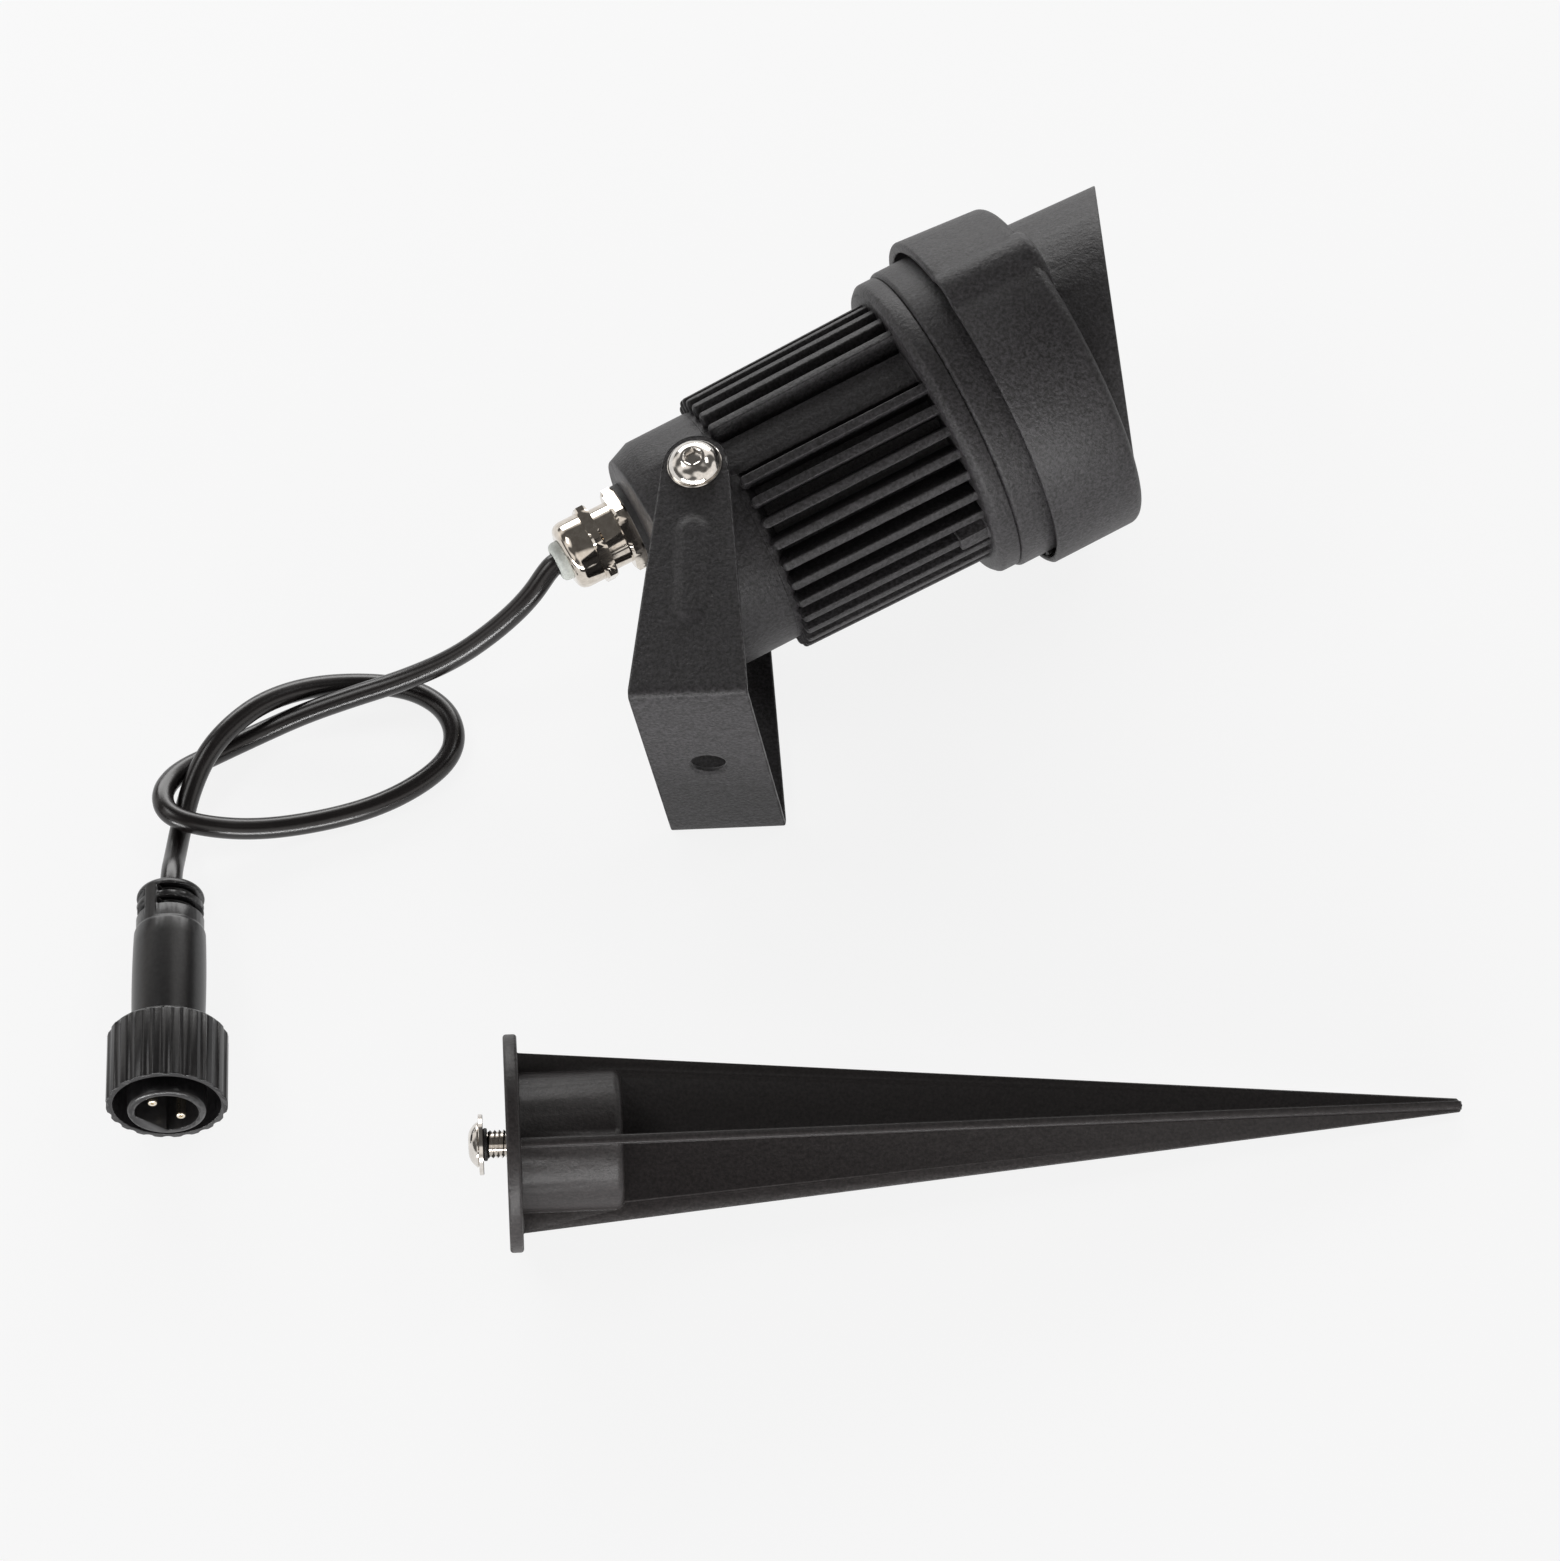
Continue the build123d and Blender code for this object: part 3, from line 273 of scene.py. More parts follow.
def turned(name, rings, material, segments=72):
    """A piece turned on a lathe. Rings give a station and a radius, and where it is milled, half its flats."""
    form = bmesh.new()
    loops = []
    for station, radius, *flat in rings:
        loop = []
        for step in range(segments):
            angle = 2 * pi * step / segments
            across = flat[0] / cos((angle + pi / 6) % (pi / 3) - pi / 6) if flat else radius
            reach = min(radius, across) * mm
            loop.append((reach * cos(angle), reach * sin(angle), station * mm))
        loops.append(loop)
    skin(form, loops, closed=True)
    bmesh.ops.remove_doubles(form, verts=form.verts, dist=0.002 * mm)
    bmesh.ops.recalc_face_normals(form, faces=form.faces)
    return piece_of(form, name, material)


def curve_through(start, through, end, steps=6):
    """Rings on a smooth arc through three stations, without its first point."""
    rings = []
    for step in range(1, steps + 1):
        t = step / steps
        shares = ((1 - t) * (1 - 2 * t), 4 * t * (1 - t), t * (2 * t - 1))
        rings.append(tuple(sum(s * p[axis] for s, p in zip(shares, (start, through, end))) for axis in (0, 1)))
    return rings


fin_form = bmesh.new()
fin_loops = []
fin_slope = (fin_front_r - fin_rear_r) / (collar_start - fin_rear)
fin_end_steps = 5
for step in range(fin_end_steps + 2):
    share = min(step / fin_end_steps, 1)
    half = max(fin_half * sin(share * pi / 2), fin_edge)
    z = fin_rear + fin_half * (1 - cos(share * pi / 2)) if step <= fin_end_steps else collar_start + fin_into_collar
    top = fin_rear_r + fin_slope * (z - fin_rear) - fin_end_drop * (1 - sin(share * pi / 2)) ** 1.5
    turn_r = min(fin_round, half * 0.9)
    over_top = [(top - turn_r * (1 - sin(radians(a))), half - turn_r * (1 - cos(radians(a)))) for a in (0, 30, 60, 90)]
    side = [(core_r - fin_foot, half)] + over_top
    fin_loops.append([(x, -y, z) for x, y in side] + [(x, y, z) for x, y in reversed(side)])
fin_rows = skin(fin_form, fin_loops)
fin_form.faces.new(fin_rows[0])
fin_form.faces.new(list(reversed(fin_rows[-1])))
bmesh.ops.recalc_face_normals(fin_form, faces=fin_form.faces)


def geometry_tree(name, **sockets):
    """A Geometry Nodes tree with named inputs, and the sockets that bring them in."""
    tree = bpy.data.node_groups.new(name, "GeometryNodeTree")
    for label, kind in sockets.items():
        tree.interface.new_socket(label.replace("_", " "), in_out="INPUT", socket_type="NodeSocket" + kind)
    tree.interface.new_socket("Geometry", in_out="OUTPUT", socket_type="NodeSocketGeometry")
    return tree, add(tree, "NodeGroupInput", {}).outputs


# Copies of one piece turned round an axis, in groups with a wider step between them.
round_axis, given = geometry_tree(
    "copies_round_an_axis",
    Piece="Geometry",
    Copies="Int",
    In_a_Group="Float",
    First_Turn="Vector",
    Turn="Vector",
    Turn_Between_Groups="Vector",
    Finish="Material",
)
seats = add(round_axis, "GeometryNodePoints", {"Count": given["Copies"]})
number = add(round_axis, "GeometryNodeInputIndex", {}).outputs[0]
group = add(round_axis, "ShaderNodeMath", {0: number, 1: given["In a Group"]}, operation="DIVIDE")
whole = add(round_axis, "ShaderNodeMath", {0: group.outputs[0]}, operation="FLOOR")
turned_by = add(round_axis, "ShaderNodeVectorMath", {0: given["Turn"], "Scale": number}, operation="SCALE")
skipped = add(
    round_axis,
    "ShaderNodeVectorMath",
    {0: given["Turn Between Groups"], "Scale": whole.outputs[0]},
    operation="SCALE",
)
steps_turn = add(round_axis, "ShaderNodeVectorMath", {0: turned_by.outputs[0], 1: skipped.outputs[0]})
total_turn = add(round_axis, "ShaderNodeVectorMath", {0: steps_turn.outputs[0], 1: given["First Turn"]})
set_round = add(
    round_axis,
    "GeometryNodeInstanceOnPoints",
    {"Points": seats.outputs[0], "Instance": given["Piece"], "Rotation": total_turn.outputs[0]},
)
made_real = add(round_axis, "GeometryNodeRealizeInstances", {"Geometry": set_round.outputs[0]})
finished = add(
    round_axis, "GeometryNodeSetMaterial", {"Geometry": made_real.outputs[0], "Material": given["Finish"]}
)
add(round_axis, "NodeGroupOutput", {"Geometry": finished.outputs[0]})


def seated(piece, seat, crease=34):
    """Settles a piece and sets it in its seat."""
    settle(piece, crease)
    piece.data.transform(seat)


def grown(piece, tree, seat, crease=34, **values):
    """Runs a Geometry Nodes tree on a piece, turns it into a plain mesh and sets it in its seat."""
    modifier = piece.modifiers.new(tree.name, "NODES")
    modifier.node_group = tree
    sockets = {item.name: item.identifier for item in tree.interface.items_tree if item.in_out == "INPUT"}
    for label, value in values.items():
        modifier[sockets[label.replace("_", " ")]] = value
    seated(piece, seat, crease)


fins = piece_of(fin_form, "housing_fins", powder_coat)
fin_pitch = radians(10)
fins_per_side = 16
grown(
    fins,
    round_axis,
    head,
    Copies=2 * fins_per_side,
    In_a_Group=float(fins_per_side),
    First_Turn=(0, 0, -fin_pitch * (fins_per_side - 1) / 2),
    Turn=(0, 0, fin_pitch),
    Turn_Between_Groups=(0, 0, pi - fin_pitch * fins_per_side),
    Finish=powder_coat,
)

# the cap's skin runs on under the fins' rear ends and then slopes down to the core between them
ramp_r = 22.72
ramp_foot_r = 19.8
ramp_start = 4.2
ramp = turned(
    "fin_root_ramp",
    [(ramp_start, ramp_foot_r), (ramp_start, ramp_r), (5.8, ramp_r), (6.3, ramp_r - 0.3), (7.6, 20.6)]
    + [(8.4, ramp_foot_r), (ramp_start, ramp_foot_r)],
    powder_coat,
    segments=144,
)
seated(ramp, head, 50)
for piece in (fins, ramp):
    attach(piece, "root")

# ---------------------------------------------------------------- front bezel and hood
# The bezel is a plain cast ring. The hood is one casting: a sleeve over the bezel with a raised arch, two hollow
# ears where the arch ends, and a tapered snoot with a slanted mouth.
bezel = softened("front_bezel", "bezel_casting", powder_coat, 0.3 * mm, 3)
stands_for(bezel, "front_bezel", "root")
hood = softened("hood", "hood_casting", powder_coat, 0.3 * mm, 3, limit=48)
stands_for(hood, "hood", "root")

# ---------------------------------------------------------------- bracket
# A strip of 1.2 mm sheet steel, blanked to a taper, with a soft stiffening rib pressed outwards in each arm,
# folded twice with small outside bends and pierced in the middle of its base.
bracket_half = 26.0 * mm
bracket_reach = 46.5 * mm
bracket_side = 10.5 * mm
sheet = 1.2 * mm
bend_r = 1.7 * mm
arm_end_r = 6.0 * mm
rib_r = 3.3 * mm
rib_top = -13.4 * mm
rib_bottom = -29.0 * mm
rib_height = 0.65 * mm
rib_slope = 2.0 * mm
hole_r = 3.15
fold_start = bend_r - bracket_reach
tangent = atan2(fold_start, bracket_side) + acos(arm_end_r / hypot(fold_start, bracket_side))
tangent_x = arm_end_r * cos(tangent)
tangent_y = arm_end_r * sin(tangent)

# half of the strip's middle line, from the top of one arm to the middle of the base: height, across, half width
strip = []
end_rows = 10
for step in range(end_rows):
    angle = pi / 2 + (tangent - pi / 2) * step / end_rows
    strip.append((arm_end_r * sin(angle), bracket_half, arm_end_r * cos(angle)))
arm_rows = 76
for step in range(arm_rows + 1):
    share = step / arm_rows
    strip.append(
        (tangent_y + (fold_start - tangent_y) * share, bracket_half, tangent_x + (bracket_side - tangent_x) * share)
    )
bend_rows = 6
for step in range(1, bend_rows):
    angle = pi / 2 * step / bend_rows
    strip.append((fold_start - bend_r * sin(angle), bracket_half - bend_r * (1 - cos(angle)), bracket_side))
base_rows = 12
for step in range(base_rows + 1):
    strip.append((-bracket_reach, (bracket_half - bend_r) * (1 - step / base_rows), bracket_side))
strip += [(y, -z, half) for y, z, half in reversed(strip[:-1])]
columns = 40
strip_loops = []
for y, z, half in strip:
    loop = []
    for column in range(columns + 1):
        x = half * (2 * column / columns - 1)
        away = hypot(x, y - min(max(y, rib_bottom), rib_top))
        share = min(max((rib_r - away) / rib_slope, 0), 1)
        rise = rib_height * share * share * (3 - 2 * share) if abs(z) == bracket_half else 0
        loop.append((x, y, z + (rise if z > 0 else -rise)))
    strip_loops.append(loop)
strip_form = bmesh.new()
skin(strip_form, strip_loops)
bmesh.ops.remove_doubles(strip_form, verts=strip_form.verts, dist=0.002 * mm)
strip_form.faces.ensure_lookup_table()
if strip_form.faces[len(strip_form.faces) // 4].normal.z < 0:
    bmesh.ops.reverse_faces(strip_form, faces=strip_form.faces)
bracket = piece_of(strip_form, "folded_bracket", powder_coat)
wall = bracket.modifiers.new("sheet", "SOLIDIFY")
wall.thickness = sheet
wall.offset = -1

# the punch widens outside the sheet on both faces, so that the coated hole has a soft rim
base_outside = bracket_reach / mm
base_inside = base_outside - sheet / mm
lead_in = 0.35
past = 3
wide = hole_r + past + lead_in
punch_rings = [(base_outside + past, 0), (base_outside + past, wide), (base_outside - lead_in, hole_r)]
punch_rings += [(base_inside + lead_in, hole_r), (base_inside - past, wide), (base_inside - past, 0)]
punch = turned("punch", punch_rings, powder_coat)
punch.data.transform(Matrix.Rotation(pi / 2, 4, "X"))
pierce = bracket.modifiers.new("hole", "BOOLEAN")
pierce.object = punch
pierce.operation = "DIFFERENCE"
rounded(bracket, 0.3 * mm, 2, 60)
bpy.data.objects.remove(punch)
bracket.data.transform(fork)
stands_for(bracket, "bracket", "bracket")

# ---------------------------------------------------------------- front glass and its gasket
# A disc of tempered soda-lime glass, polished on both faces, pressed by the bezel on a moulded silicone ring.
glass = surface("tempered_glass", Base_Color=linear("#f4fbf8"), Roughness=0.01, IOR=1.52, Transmission_Weight=1.0)
dress(glass[0], "front_glass")
silicone = grained(
    surface("moulded_silicone", Roughness=0.45, IOR=1.41), "#c2c5c4", "#d0d3d2", grain=0.8 * mm, depth=0.01 * mm
)
dress(silicone, "glass_gasket")

# ---------------------------------------------------------------- light engine
# A chip-on-board LED on a white aluminium-core board, screwed with its turned heat plate to two posts of the
# housing, in front of it a vacuum-metallised reflector.
plate_metal = grained(
    surface("turned_aluminium", Metallic=1.0, Roughness=0.35), "#bcbdbf", "#d2d3d5", grain=0.3 * mm, depth=0.004 * mm
)
dress(plate_metal, "heat_plate")
mask = grained(
    surface("white_solder_mask", Roughness=0.3), "#dfe1dd", "#eceeea", grain=1.0 * mm, depth=0.006 * mm
)
dress(mask, "led_board")
phosphor = grained(
    surface("phosphor_silicone", Roughness=0.3, Coat_Weight=1.0, Coat_Roughness=0.05),
    "#dcae2c",
    "#f0d050",
    grain=0.5 * mm,
    depth=0.01 * mm,
)
dress(phosphor, "led_chip")
metallised = grained(
    surface("vacuum_metallised", Metallic=1.0, Roughness=0.08), "#dcdcdf", "#ececee", grain=2.0 * mm, depth=0.006 * mm
)
dress(metallised, "reflector")

# ---------------------------------------------------------------- driver
# A small green board with its capacitor, choke and rectifier, closed inside the housing.
board_green = grained(
    surface("green_solder_mask", Roughness=0.35), "#1a4f2b", "#246238", grain=1.0 * mm, depth=0.006 * mm
)
dress(board_green, "driver_board")
moulded_parts = grained(
    surface("moulded_epoxy", Roughness=0.4), "#111113", "#1c1c1f", grain=0.4 * mm, depth=0.008 * mm
)
dress(moulded_parts, "driver_parts")


# ---------------------------------------------------------------- cable gland
# Nickel-plated brass, turned and milled from hexagon bar: a body screwed into the rear wall over a rubber
# gasket, and a domed nut that squeezes a light grey rubber seal on the cord. Bright plating reflects sharply.
nickel = grained(
    surface("bright_nickel_plate", Metallic=1.0, Roughness=0.09),
    "#c9c0b5",
    "#ded6cb",
    grain=1.2 * mm,
    depth=0.003 * mm,
)
gland_offset = 10.65 * mm
rear_face = -11.1 * mm
gland_seat = head @ placed(Vector((gland_offset, 0, rear_face)), Vector((1, 0, 0)), Vector((0, 0, -1)))
body_turn = Matrix.Rotation(radians(-6), 4, "Z")
nut_turn = Matrix.Rotation(radians(-26), 4, "Z")
corner_r = 8.2
gland_flat = 7.0
thread_r = 6.0
thread_start = -7.0
bore_r = 3.8
sleeve_r = 5.2
sleeve_end = 12.2
gland_body = turned(
    "gland_body_turned",
    [(thread_start, bore_r), (thread_start, thread_r - 0.3), (thread_start + 0.3, thread_r), (1.2, thread_r)]
    + [(1.2, 7.45, gland_flat), (1.6, corner_r, gland_flat), (3.15, corner_r, gland_flat), (3.6, 7.3, gland_flat)]
    + [(3.6, thread_r), (7.2, thread_r), (7.2, sleeve_r), (sleeve_end, sleeve_r), (sleeve_end, bore_r)]
    + [(thread_start, bore_r)],
    nickel,
)
seated(gland_body, gland_seat @ body_turn, 28)
stands_for(gland_body, "gland_body", "root")
dome_r = 6.55
dome_start = 12.6
nut_rear = 7.24
nut_front = 14.6
nut_bore_r = 5.23
mouth_r = 3.83
gland_nut = turned(
    "gland_nut_turned",
    [(nut_rear, nut_bore_r), (nut_rear, 7.3, gland_flat), (7.65, corner_r, gland_flat), (9.0, corner_r, gland_flat)]
    + [(9.4, 7.35, gland_flat), (9.4, dome_r), (dome_start, dome_r)]
    + curve_through((dome_start, dome_r), (14.0, 6.05), (nut_front, 4.9))
    + [(nut_front, mouth_r), (12.3, mouth_r), (12.3, nut_bore_r), (nut_rear, nut_bore_r)],
    nickel,
)
seated(gland_nut, gland_seat @ nut_turn, 28)
stands_for(gland_nut, "gland_nut", "root")
grey_rubber = grained(
    surface("grey_nitrile_rubber", Roughness=0.55), "#a4a7a2", "#b6b9b4", grain=0.4 * mm, depth=0.015 * mm
)
seal_start = 7.5
seal_shoulder = 15.4
seal_end = 16.5
seal_r = 3.77
seal_bore_r = 2.04
gland_seal = turned(
    "gland_seal_moulded",
    [(seal_start, seal_bore_r), (seal_start, seal_r), (seal_shoulder, seal_r)]
    + curve_through((seal_shoulder, seal_r), (16.2, 3.45), (seal_end, 2.7))
    + [(seal_end, 2.2), (16.3, seal_bore_r), (seal_start, seal_bore_r)],
    grey_rubber,
)
seated(gland_seal, gland_seat)
stands_for(gland_seal, "gland_seal", "root")
dark_rubber = grained(
    surface("dark_nitrile_rubber", Roughness=0.6), "#2b2a2a", "#393838", grain=0.4 * mm, depth=0.02 * mm
)
dress(dark_rubber, "gland_gasket", "connector_oring")

# ---------------------------------------------------------------- cord
# A round two-core cord in a glossy black PVC sheath, 4 mm thick. It is short: out of the gland, down to the
# table, once round in a loose loop over itself, and into the moulded connector.
cord_r = 2.0 * mm
gland_mouth = gland_seat @ Vector((0, 0, seal_end * mm))
table_level = 2.05
cord_route = [
    (-34.2, -8.8, 24.0),
    (-40.8, -12.3, 19.1),
    (-49.1, -15.0, 13.7),
    (-59.1, -16.7, 9.3),
    (-69.0, -18.3, 6.6),
    (-78.3, -20.3, 4.2),
    (-87.0, -23.3, table_level),
    (-94.9, -27.6, table_level),
    (-101.0, -32.3, 3.8),
    (-103.0, -38.3, 6.4),
    (-101.0, -43.6, 7.5),
    (-94.2, -45.4, 6.3),
    (-84.9, -44.7, 3.6),
    (-74.1, -42.3, table_level),
    (-63.7, -39.3, table_level),
    (-55.5, -34.5, table_level),
    (-50.5, -29.1, table_level),
    (-49.8, -23.3, table_level),
    (-52.7, -17.7, table_level),
    (-59.2, -13.7, table_level),
    (-68.2, -12.9, 2.7),
    (-77.4, -14.9, 5.0),
    (-85.0, -19.1, 7.1),
    (-90.6, -24.4, 7.7),
    (-94.8, -29.9, 7.1),
    (-97.8, -35.7, 4.4),
    (-99.5, -42.4, table_level),
    (-99.7, -50.0, 3.8),
]
under_hinge = Vector((hinge.x, hinge.y, 0))
cord_points = [gland_mouth, gland_mouth - lamp_axis * 0.5 * cord_r]
cord_points += [under_hinge + Vector(point) * mm for point in cord_route]
cord_points += [connector_rear - connector_axis * 2 * cord_r, connector_rear + connector_axis * 0.5 * mm]
cord_curve = bpy.data.curves.new("cord_line", "CURVE")
cord_curve.dimensions = "3D"
cord_spline = cord_curve.splines.new("NURBS")
cord_spline.points.add(len(cord_points) - 1)
for point, place in zip(cord_spline.points, cord_points):
    point.co = (*place, 1)
cord_spline.order_u = 3
cord_spline.use_endpoint_u = True
cord_spline.resolution_u = 12
cord_curve.bevel_depth = cord_r
cord_curve.bevel_resolution = 8
cord_curve.use_fill_caps = True
pvc = grained(
    surface("black_pvc_sheath", Roughness=0.26, IOR=1.53), "#0f0c0c", "#191515", grain=0.7 * mm, depth=0.012 * mm
)
cord_curve.materials.append(pvc)
flex = bpy.data.objects.new("two_core_cord", cord_curve)
bpy.context.scene.collection.objects.link(flex)
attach(flex, "root")
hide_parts("cord")

# ---------------------------------------------------------------- cord connector
# A two-pin low-voltage connector, moulded in satin black nylon on the cord's end, with a fluted coupling nut
# that turns freely and two plated pins with a drawn dimple in their tips.
nylon = grained(
    surface("satin_black_nylon", Roughness=0.3), "#100f10", "#1c1b1c", grain=0.9 * mm, depth=0.015 * mm
)
connector_body = softened("connector_body", "connector_moulding", nylon, 0.25 * mm, 2)

# the slots of the strain relief face upwards, and the relief is nearly as wide as the body
relief_end = 8.6 * mm
relief_step = 0.6 * mm
relief_growth = 0.045
slots_turn = Matrix.Rotation(radians(69), 4, "Z")
connector_body.data.transform(slots_turn @ connector_seat.inverted())
for vert in connector_body.data.vertices:
    growth = 1 + relief_growth * min(max((relief_end + relief_step - vert.co.z) / relief_step, 0), 1)
    vert.co.x *= growth
    vert.co.y *= growth
connector_body.data.transform(connector_seat)
stands_for(connector_body, "connector_body", "root")
coupling_nut = softened("coupling_nut", "fluted_coupling_nut", nylon, 0.18 * mm, 2, limit=22)
stands_for(coupling_nut, "coupling_nut", "coupling_nut")
insert = softened("connector_insert", "insert_moulding", nylon, 0.2 * mm, 2)
stands_for(insert, "connector_insert", "root")
pin_metal = grained(
    surface("plated_contact", Metallic=1.0, Roughness=0.2), "#ddd2bd", "#f2eadb", grain=0.5 * mm, depth=0.004 * mm
)
pin_spacing = 6.45 * mm
pin_turn = radians(-49.5)
pin_start = 35
pin_end = 46.2
pin_r = 0.9
pin = turned(
    "plated_pins",
    [(pin_start, 0), (pin_start, pin_r), (pin_end - 0.55, pin_r)]
    + curve_through((pin_end - 0.55, pin_r), (pin_end - 0.1, 0.8), (pin_end, 0.5))
    + [(pin_end - 0.05, 0.3), (pin_end - 0.5, 0.22), (pin_end - 0.5, 0)],
    pin_metal,
    segments=24,
)
pin.data.transform(Matrix.Translation((pin_spacing / 2, 0, 0)))
grown(
    pin,
    round_axis,
    connector_seat,
    Copies=2,
    In_a_Group=2.0,
    First_Turn=(0, 0, pin_turn),
    Turn=(0, 0, pi),
    Finish=pin_metal,
)
stands_for(pin, "connector_pins", "root")

# ---------------------------------------------------------------- pivot screws
# Stainless M5 button-head screws with a 3 mm hexagon socket, polished by tumbling, each on a thin washer. Both
# are the same screw, one in each arm.
stainless = grained(
    surface("polished_stainless", Metallic=1.0, Roughness=0.12), "#d0cbc5", "#e2ddd7", grain=0.9 * mm, depth=0.003 * mm
)
shank_end = 18.6
shank_r = 2.5
pivot_head = 26.45
head_r = 4.55
dome_foot = 26.9
socket_r = 1.75
socket_half = 1.5
pivot_rings = [(shank_end, 0), (shank_end, shank_r - 0.4), (19, shank_r), (pivot_head, shank_r), (pivot_head, 4.4)]
pivot_rings += [(26.6, head_r), (dome_foot, head_r)]
pivot_rings += curve_through((dome_foot, head_r), (28.22, 3.52), (29.05, 1.95), 9)
pivot_rings += [(29.03, 1.8), (28.9, socket_r, socket_half), (27.65, socket_r, socket_half), (27.35, 0)]
washer_under = 26.05
washer_bore_r = 2.53
thin_washer_r = 4.9
washer_rings = [(washer_under, washer_bore_r), (washer_under, thin_washer_r - 0.1), (26.13, thin_washer_r)]
washer_rings += [(26.37, thin_washer_r), (pivot_head, thin_washer_r - 0.1), (pivot_head, washer_bore_r)]
washer_rings += [(washer_under, washer_bore_r)]
for name, rings, node in (
    ("pivot_button_screws", pivot_rings, "pivot_screws"),
    ("pivot_thin_washers", washer_rings, "pivot_washers"),
):
    fastener = turned(name, rings, stainless)
    grown(fastener, round_axis, fork, 28, Copies=2, In_a_Group=2.0, Turn=(pi, 0, 0), Finish=stainless)
    stands_for(fastener, node, "root")
dress(stainless, "board_screws")

# ---------------------------------------------------------------- spike screw
# A stainless M5 x 16 button-head screw with a rolled thread of 0.8 mm pitch. It is screwed part way into the
# spike's hub, with its washer held under the head by a ring of dark rubber.
thread, given = geometry_tree(
    "rolled_thread",
    Shank="Geometry",
    Turns="Float",
    Radius="Float",
    Length="Float",
    Crest="Float",
    From="Vector",
    Finish="Material",
)
helix = add(
    thread,
    "GeometryNodeCurveSpiral",
    {
        "Resolution": 28,
        "Rotations": given["Turns"],
        "Start Radius": given["Radius"],
        "End Radius": given["Radius"],
        "Height": given["Length"],
    },
)
upright = add(thread, "GeometryNodeSetCurveNormal", {"Curve": helix.outputs[0]}, mode="Z_UP")
crest = add(
    thread,
    "GeometryNodeCurvePrimitiveQuadrilateral",
    {"Width": given["Crest"], "Height": given["Crest"]},
    mode="RECTANGLE",
)
tilted = add(thread, "GeometryNodeTransform", {"Geometry": crest.outputs[0], "Rotation": (0, 0, pi / 4)})
ridge = add(
    thread,
    "GeometryNodeCurveToMesh",
    {"Curve": upright.outputs[0], "Profile Curve": tilted.outputs[0], "Fill Caps": True},
)
shifted = add(thread, "GeometryNodeTransform", {"Geometry": ridge.outputs[0], "Translation": given["From"]})
joined = add(thread, "GeometryNodeJoinGeometry", {})
thread.links.new(shifted.outputs[0], joined.inputs[0])
thread.links.new(given["Shank"], joined.inputs[0])
real = add(thread, "GeometryNodeRealizeInstances", {"Geometry": joined.outputs[0]})
plated = add(thread, "GeometryNodeSetMaterial", {"Geometry": real.outputs[0], "Material": given["Finish"]})
add(thread, "NodeGroupOutput", {"Geometry": plated.outputs[0]})

under_head = -(flange_thickness + screw_proud) / mm
screw_length = 16
screw_end = under_head + screw_length
root_r = 2.08
button_r = 3.9
button_foot = under_head - 0.3
hexagon_r = 1.44
hexagon_half = 1.25
screw_rings = [(screw_end, 0), (screw_end, 1.7), (screw_end - 0.4, root_r), (under_head, root_r)]
screw_rings += [(under_head, 3.75), (under_head - 0.12, button_r), (button_foot, button_r)]
screw_rings += curve_through((button_foot, button_r), (under_head - 1.3, 2.85), (under_head - 1.75, 1.6), 9)
screw_rings += [(under_head - 1.74, 1.5), (under_head - 1.65, hexagon_r, hexagon_half)]
screw_rings += [(under_head - 0.75, hexagon_r, hexagon_half), (under_head - 0.55, 0)]
pitch = 0.8
threaded = 15.2
thread_run_in = 0.3
ridge_r = 2.12 * mm
ridge_width = 0.53 * mm
spike_screw = turned("spike_button_screw", screw_rings, stainless)
grown(
    spike_screw,
    thread,
    spike_seat,
    26,
    Turns=threaded / pitch,
    Radius=ridge_r,
    Length=threaded * mm,
    Crest=ridge_width,
    From=(0, 0, (under_head + thread_run_in) * mm),
    Finish=stainless,
)
stands_for(spike_screw, "spike_screw", "spike_screw")
washer_face = under_head + 0.03
keeper_face = washer_face + 0.8
flat_washer_r = 5.3
clear_r = 2.58
spike_washer = turned(
    "spike_flat_washer",
    [(washer_face, clear_r), (washer_face, flat_washer_r - 0.1), (washer_face + 0.1, flat_washer_r)]
    + [(washer_face + 0.7, flat_washer_r), (keeper_face, flat_washer_r - 0.1), (keeper_face, clear_r)]
    + [(washer_face, clear_r)],
    stainless,
)
seated(spike_washer, spike_seat, 28)
stands_for(spike_washer, "spike_washer", "screw_slide")
keeper_end = keeper_face + 0.7
keeper_r = 2.85
keeper = turned(
    "rubber_washer_keeper",
    [(keeper_face, clear_r), (keeper_face, 2.7), (keeper_face + 0.2, keeper_r), (keeper_face + 0.5, keeper_r)]
    + [(keeper_end, 2.7), (keeper_end, clear_r), (keeper_face, clear_r)],
    dark_rubber,
)
seated(keeper, spike_seat)
stands_for(keeper, "washer_keeper", "screw_slide")

# ---------------------------------------------------------------- ground spike
# Flange, hub and four tapered blades, injection moulded as one in black polypropylene. The mould's fine spark
# erosion leaves a matt face, and its parting edges are rounded by a fifth of a millimetre.
spike_plastic = grained(
    surface("moulded_polypropylene", Roughness=0.46, Specular_IOR_Level=0.35),
    "#191616",
    "#2a2626",
    grain=0.6 * mm,
    depth=0.06 * mm,
    peel=2.2 * mm,
    peel_depth=0.08 * mm,
)
spike = softened("ground_spike", "spike_moulding", spike_plastic, 0.2 * mm, 2, limit=62)
stands_for(spike, "ground_spike", "root")

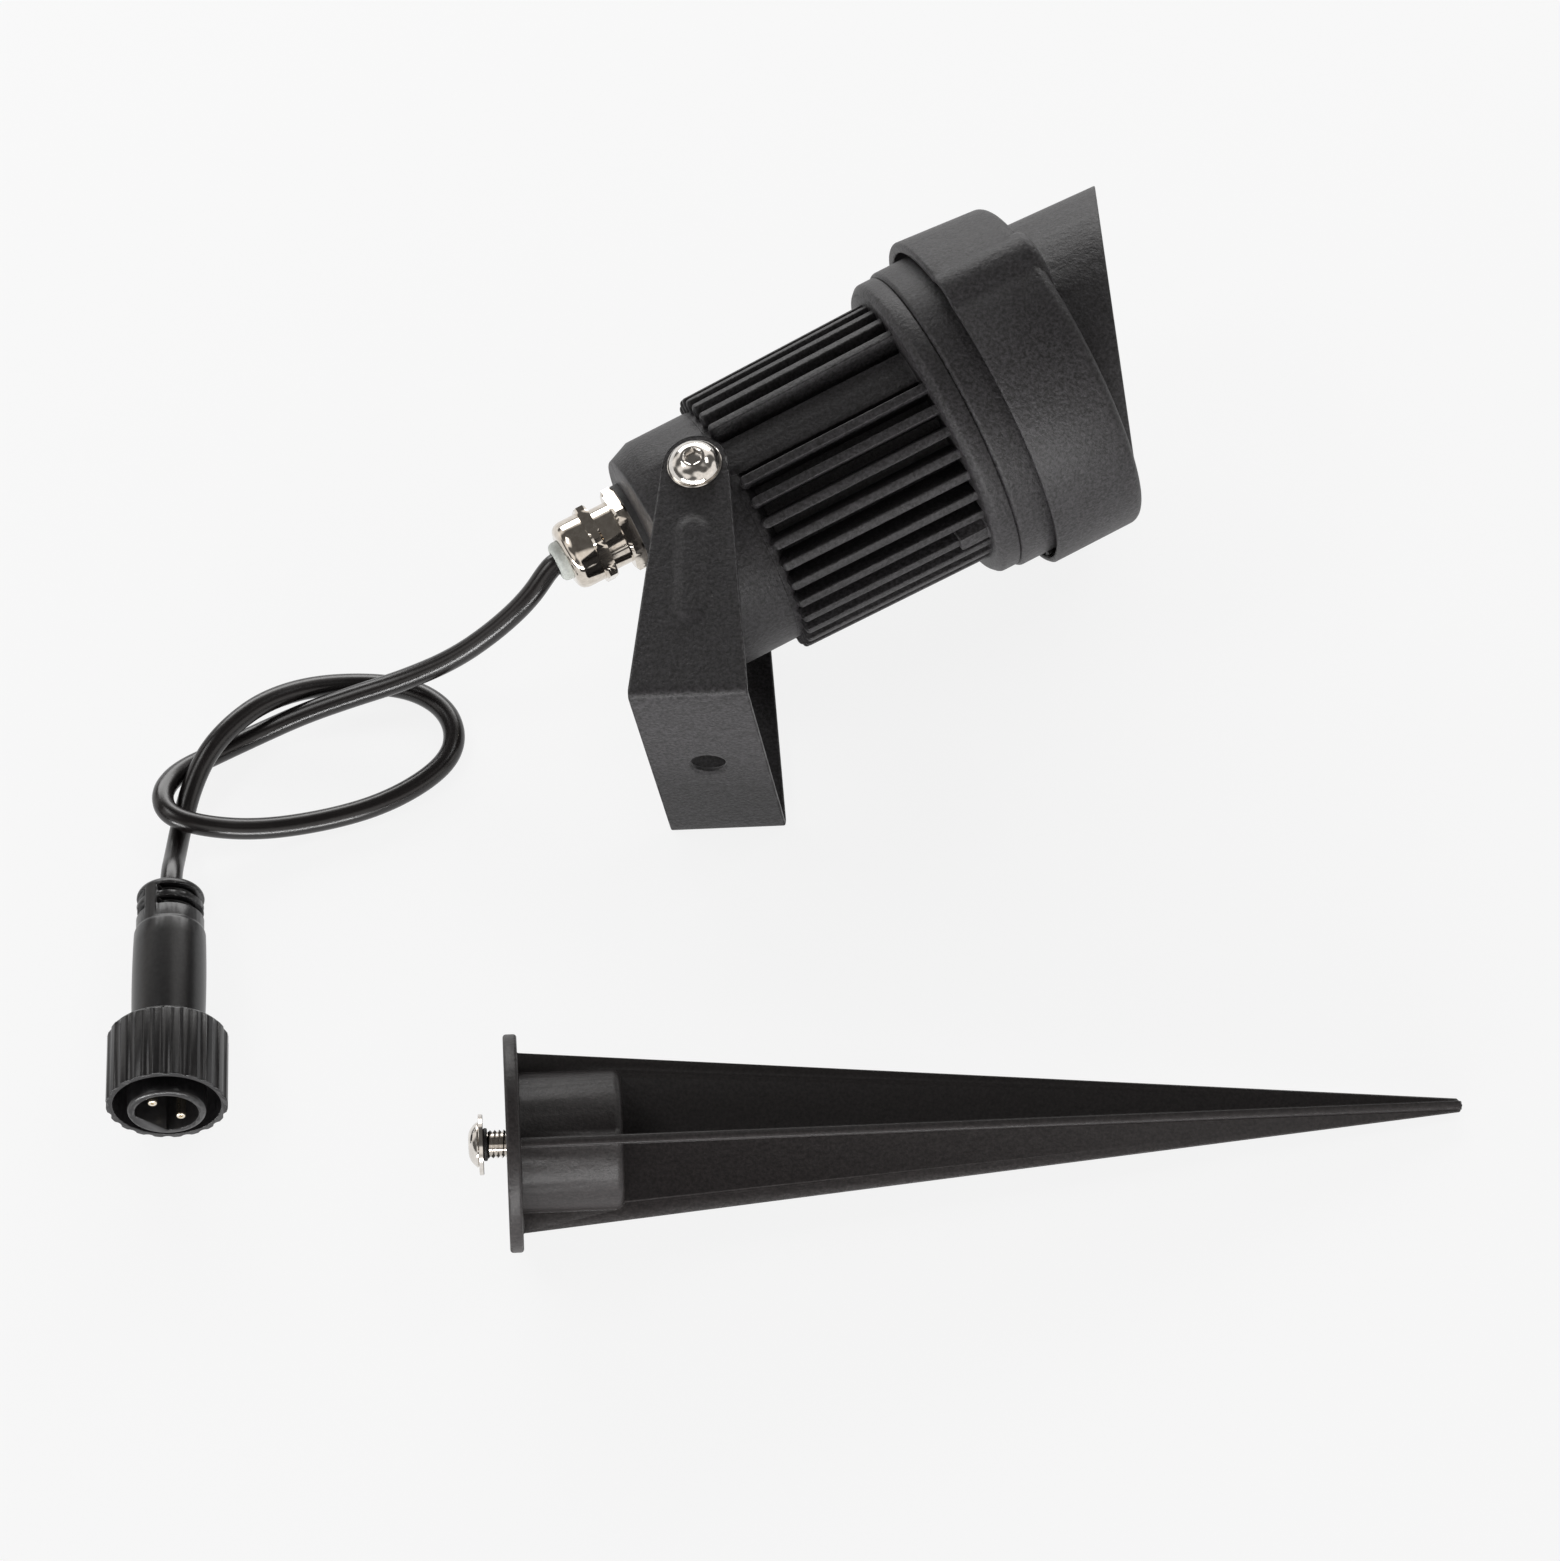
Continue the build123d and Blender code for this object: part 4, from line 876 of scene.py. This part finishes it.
# ---------------------------------------------------------------- table, light and camera
# A white table that glows a little, soft boxes low in front and behind, two small ones high up, and a camera
# above. The sky is bright at the horizon and dark overhead, and bright metal mirrors a sky of soft panels.
world = bpy.data.worlds.new("studio")
bpy.context.scene.world = world
world.use_nodes = True
sky = world.node_tree
sky.nodes.clear()
rays = add(sky, "ShaderNodeLightPath", {})
seen_white = linear("#f5f5f6")
zenith = 0.1
horizon = 1.25
direction = add(sky, "ShaderNodeTexCoord", {}).outputs["Generated"]
height = add(sky, "ShaderNodeSeparateXYZ", {"Vector": direction}).outputs["Z"]
fade = add(
    sky,
    "ShaderNodeMapRange",
    {"Value": height, "From Min": 0.0, "From Max": 0.5, "To Min": horizon, "To Max": zenith},
    interpolation_type="SMOOTHSTEP",
)
around = add(sky, "ShaderNodeBackground", {"Color": (1, 1, 1, 1), "Strength": fade.outputs["Result"]})
panel_dark = 0.12
panel_bright = 1.05
panels = add(sky, "ShaderNodeTexNoise", {"Vector": direction, "Scale": 1.7, "Detail": 0.0})
panel_light = add(
    sky,
    "ShaderNodeMapRange",
    {"Value": panels.outputs["Fac"], "From Min": 0.44, "From Max": 0.56, "To Min": panel_dark, "To Max": panel_bright},
)
mirrored = add(sky, "ShaderNodeBackground", {"Color": (1, 0.97, 0.94, 1), "Strength": panel_light.outputs["Result"]})
lit = add(
    sky, "ShaderNodeMixShader", {0: rays.outputs["Is Glossy Ray"], 1: around.outputs[0], 2: mirrored.outputs[0]}
)
seen = add(sky, "ShaderNodeBackground", {"Color": seen_white, "Strength": 1.0})
both = add(sky, "ShaderNodeMixShader", {0: rays.outputs["Is Camera Ray"], 1: lit.outputs[0], 2: seen.outputs[0]})
add(sky, "ShaderNodeOutputWorld", {"Surface": both.outputs[0]})

table_mesh = bpy.data.meshes.new("table")
table_size = 2.0
corners = [(-table_size, -table_size, 0), (table_size, -table_size, 0), (table_size, table_size, 0)]
table_mesh.from_pydata(corners + [(-table_size, table_size, 0)], [], [(0, 1, 2, 3)])
table_glow = 0.86
table_paint = surface(
    "white_table",
    Base_Color=(0.12, 0.12, 0.12, 1),
    Roughness=1.0,
    Specular_IOR_Level=0.0,
    Emission_Color=linear("#ffffff"),
    Emission_Strength=table_glow,
)
table_mesh.materials.append(table_paint[0])
table = bpy.data.objects.new("table", table_mesh)
bpy.context.scene.collection.objects.link(table)


def soft_box(name, place, width, height, watts):
    """A rectangular lamp that points at the object."""
    light = bpy.data.lights.new(name, "AREA")
    light.shape = "RECTANGLE"
    light.size = width
    light.size_y = height
    light.energy = watts
    lamp = bpy.data.objects.new(name, light)
    lamp.location = place
    lamp.rotation_euler = (-Vector(place)).to_track_quat("-Z", "Y").to_euler()
    bpy.context.scene.collection.objects.link(lamp)


soft_box("front_box", (-0.15, -0.8, 0.06), 1.4, 0.11, 11.5)
soft_box("rear_box", (-0.1, 0.85, 0.3), 1.2, 0.4, 6.5)
soft_box("high_left_box", (-0.55, 0.1, 0.75), 0.35, 0.22, 0.8)
soft_box("high_right_box", (0.5, 0.25, 0.8), 0.3, 0.18, 0.6)

camera_spot = Vector((0.04682, -0.51011, 0.84759))
camera_target = Vector((-0.0355, 0.00073, 0))
camera_up = Vector((0.0187, 0.8571, 0.5148))
camera_data = bpy.data.cameras.new("camera")
camera_data.lens = 125.22
camera_data.sensor_width = 36
camera_data.clip_start = 0.01
camera = bpy.data.objects.new("camera", camera_data)
back = (camera_spot - camera_target).normalized()
camera.matrix_world = placed(camera_spot, camera_up.cross(back), back)
bpy.context.scene.collection.objects.link(camera)
bpy.context.scene.camera = camera
bpy.context.scene.view_settings.view_transform = "Standard"
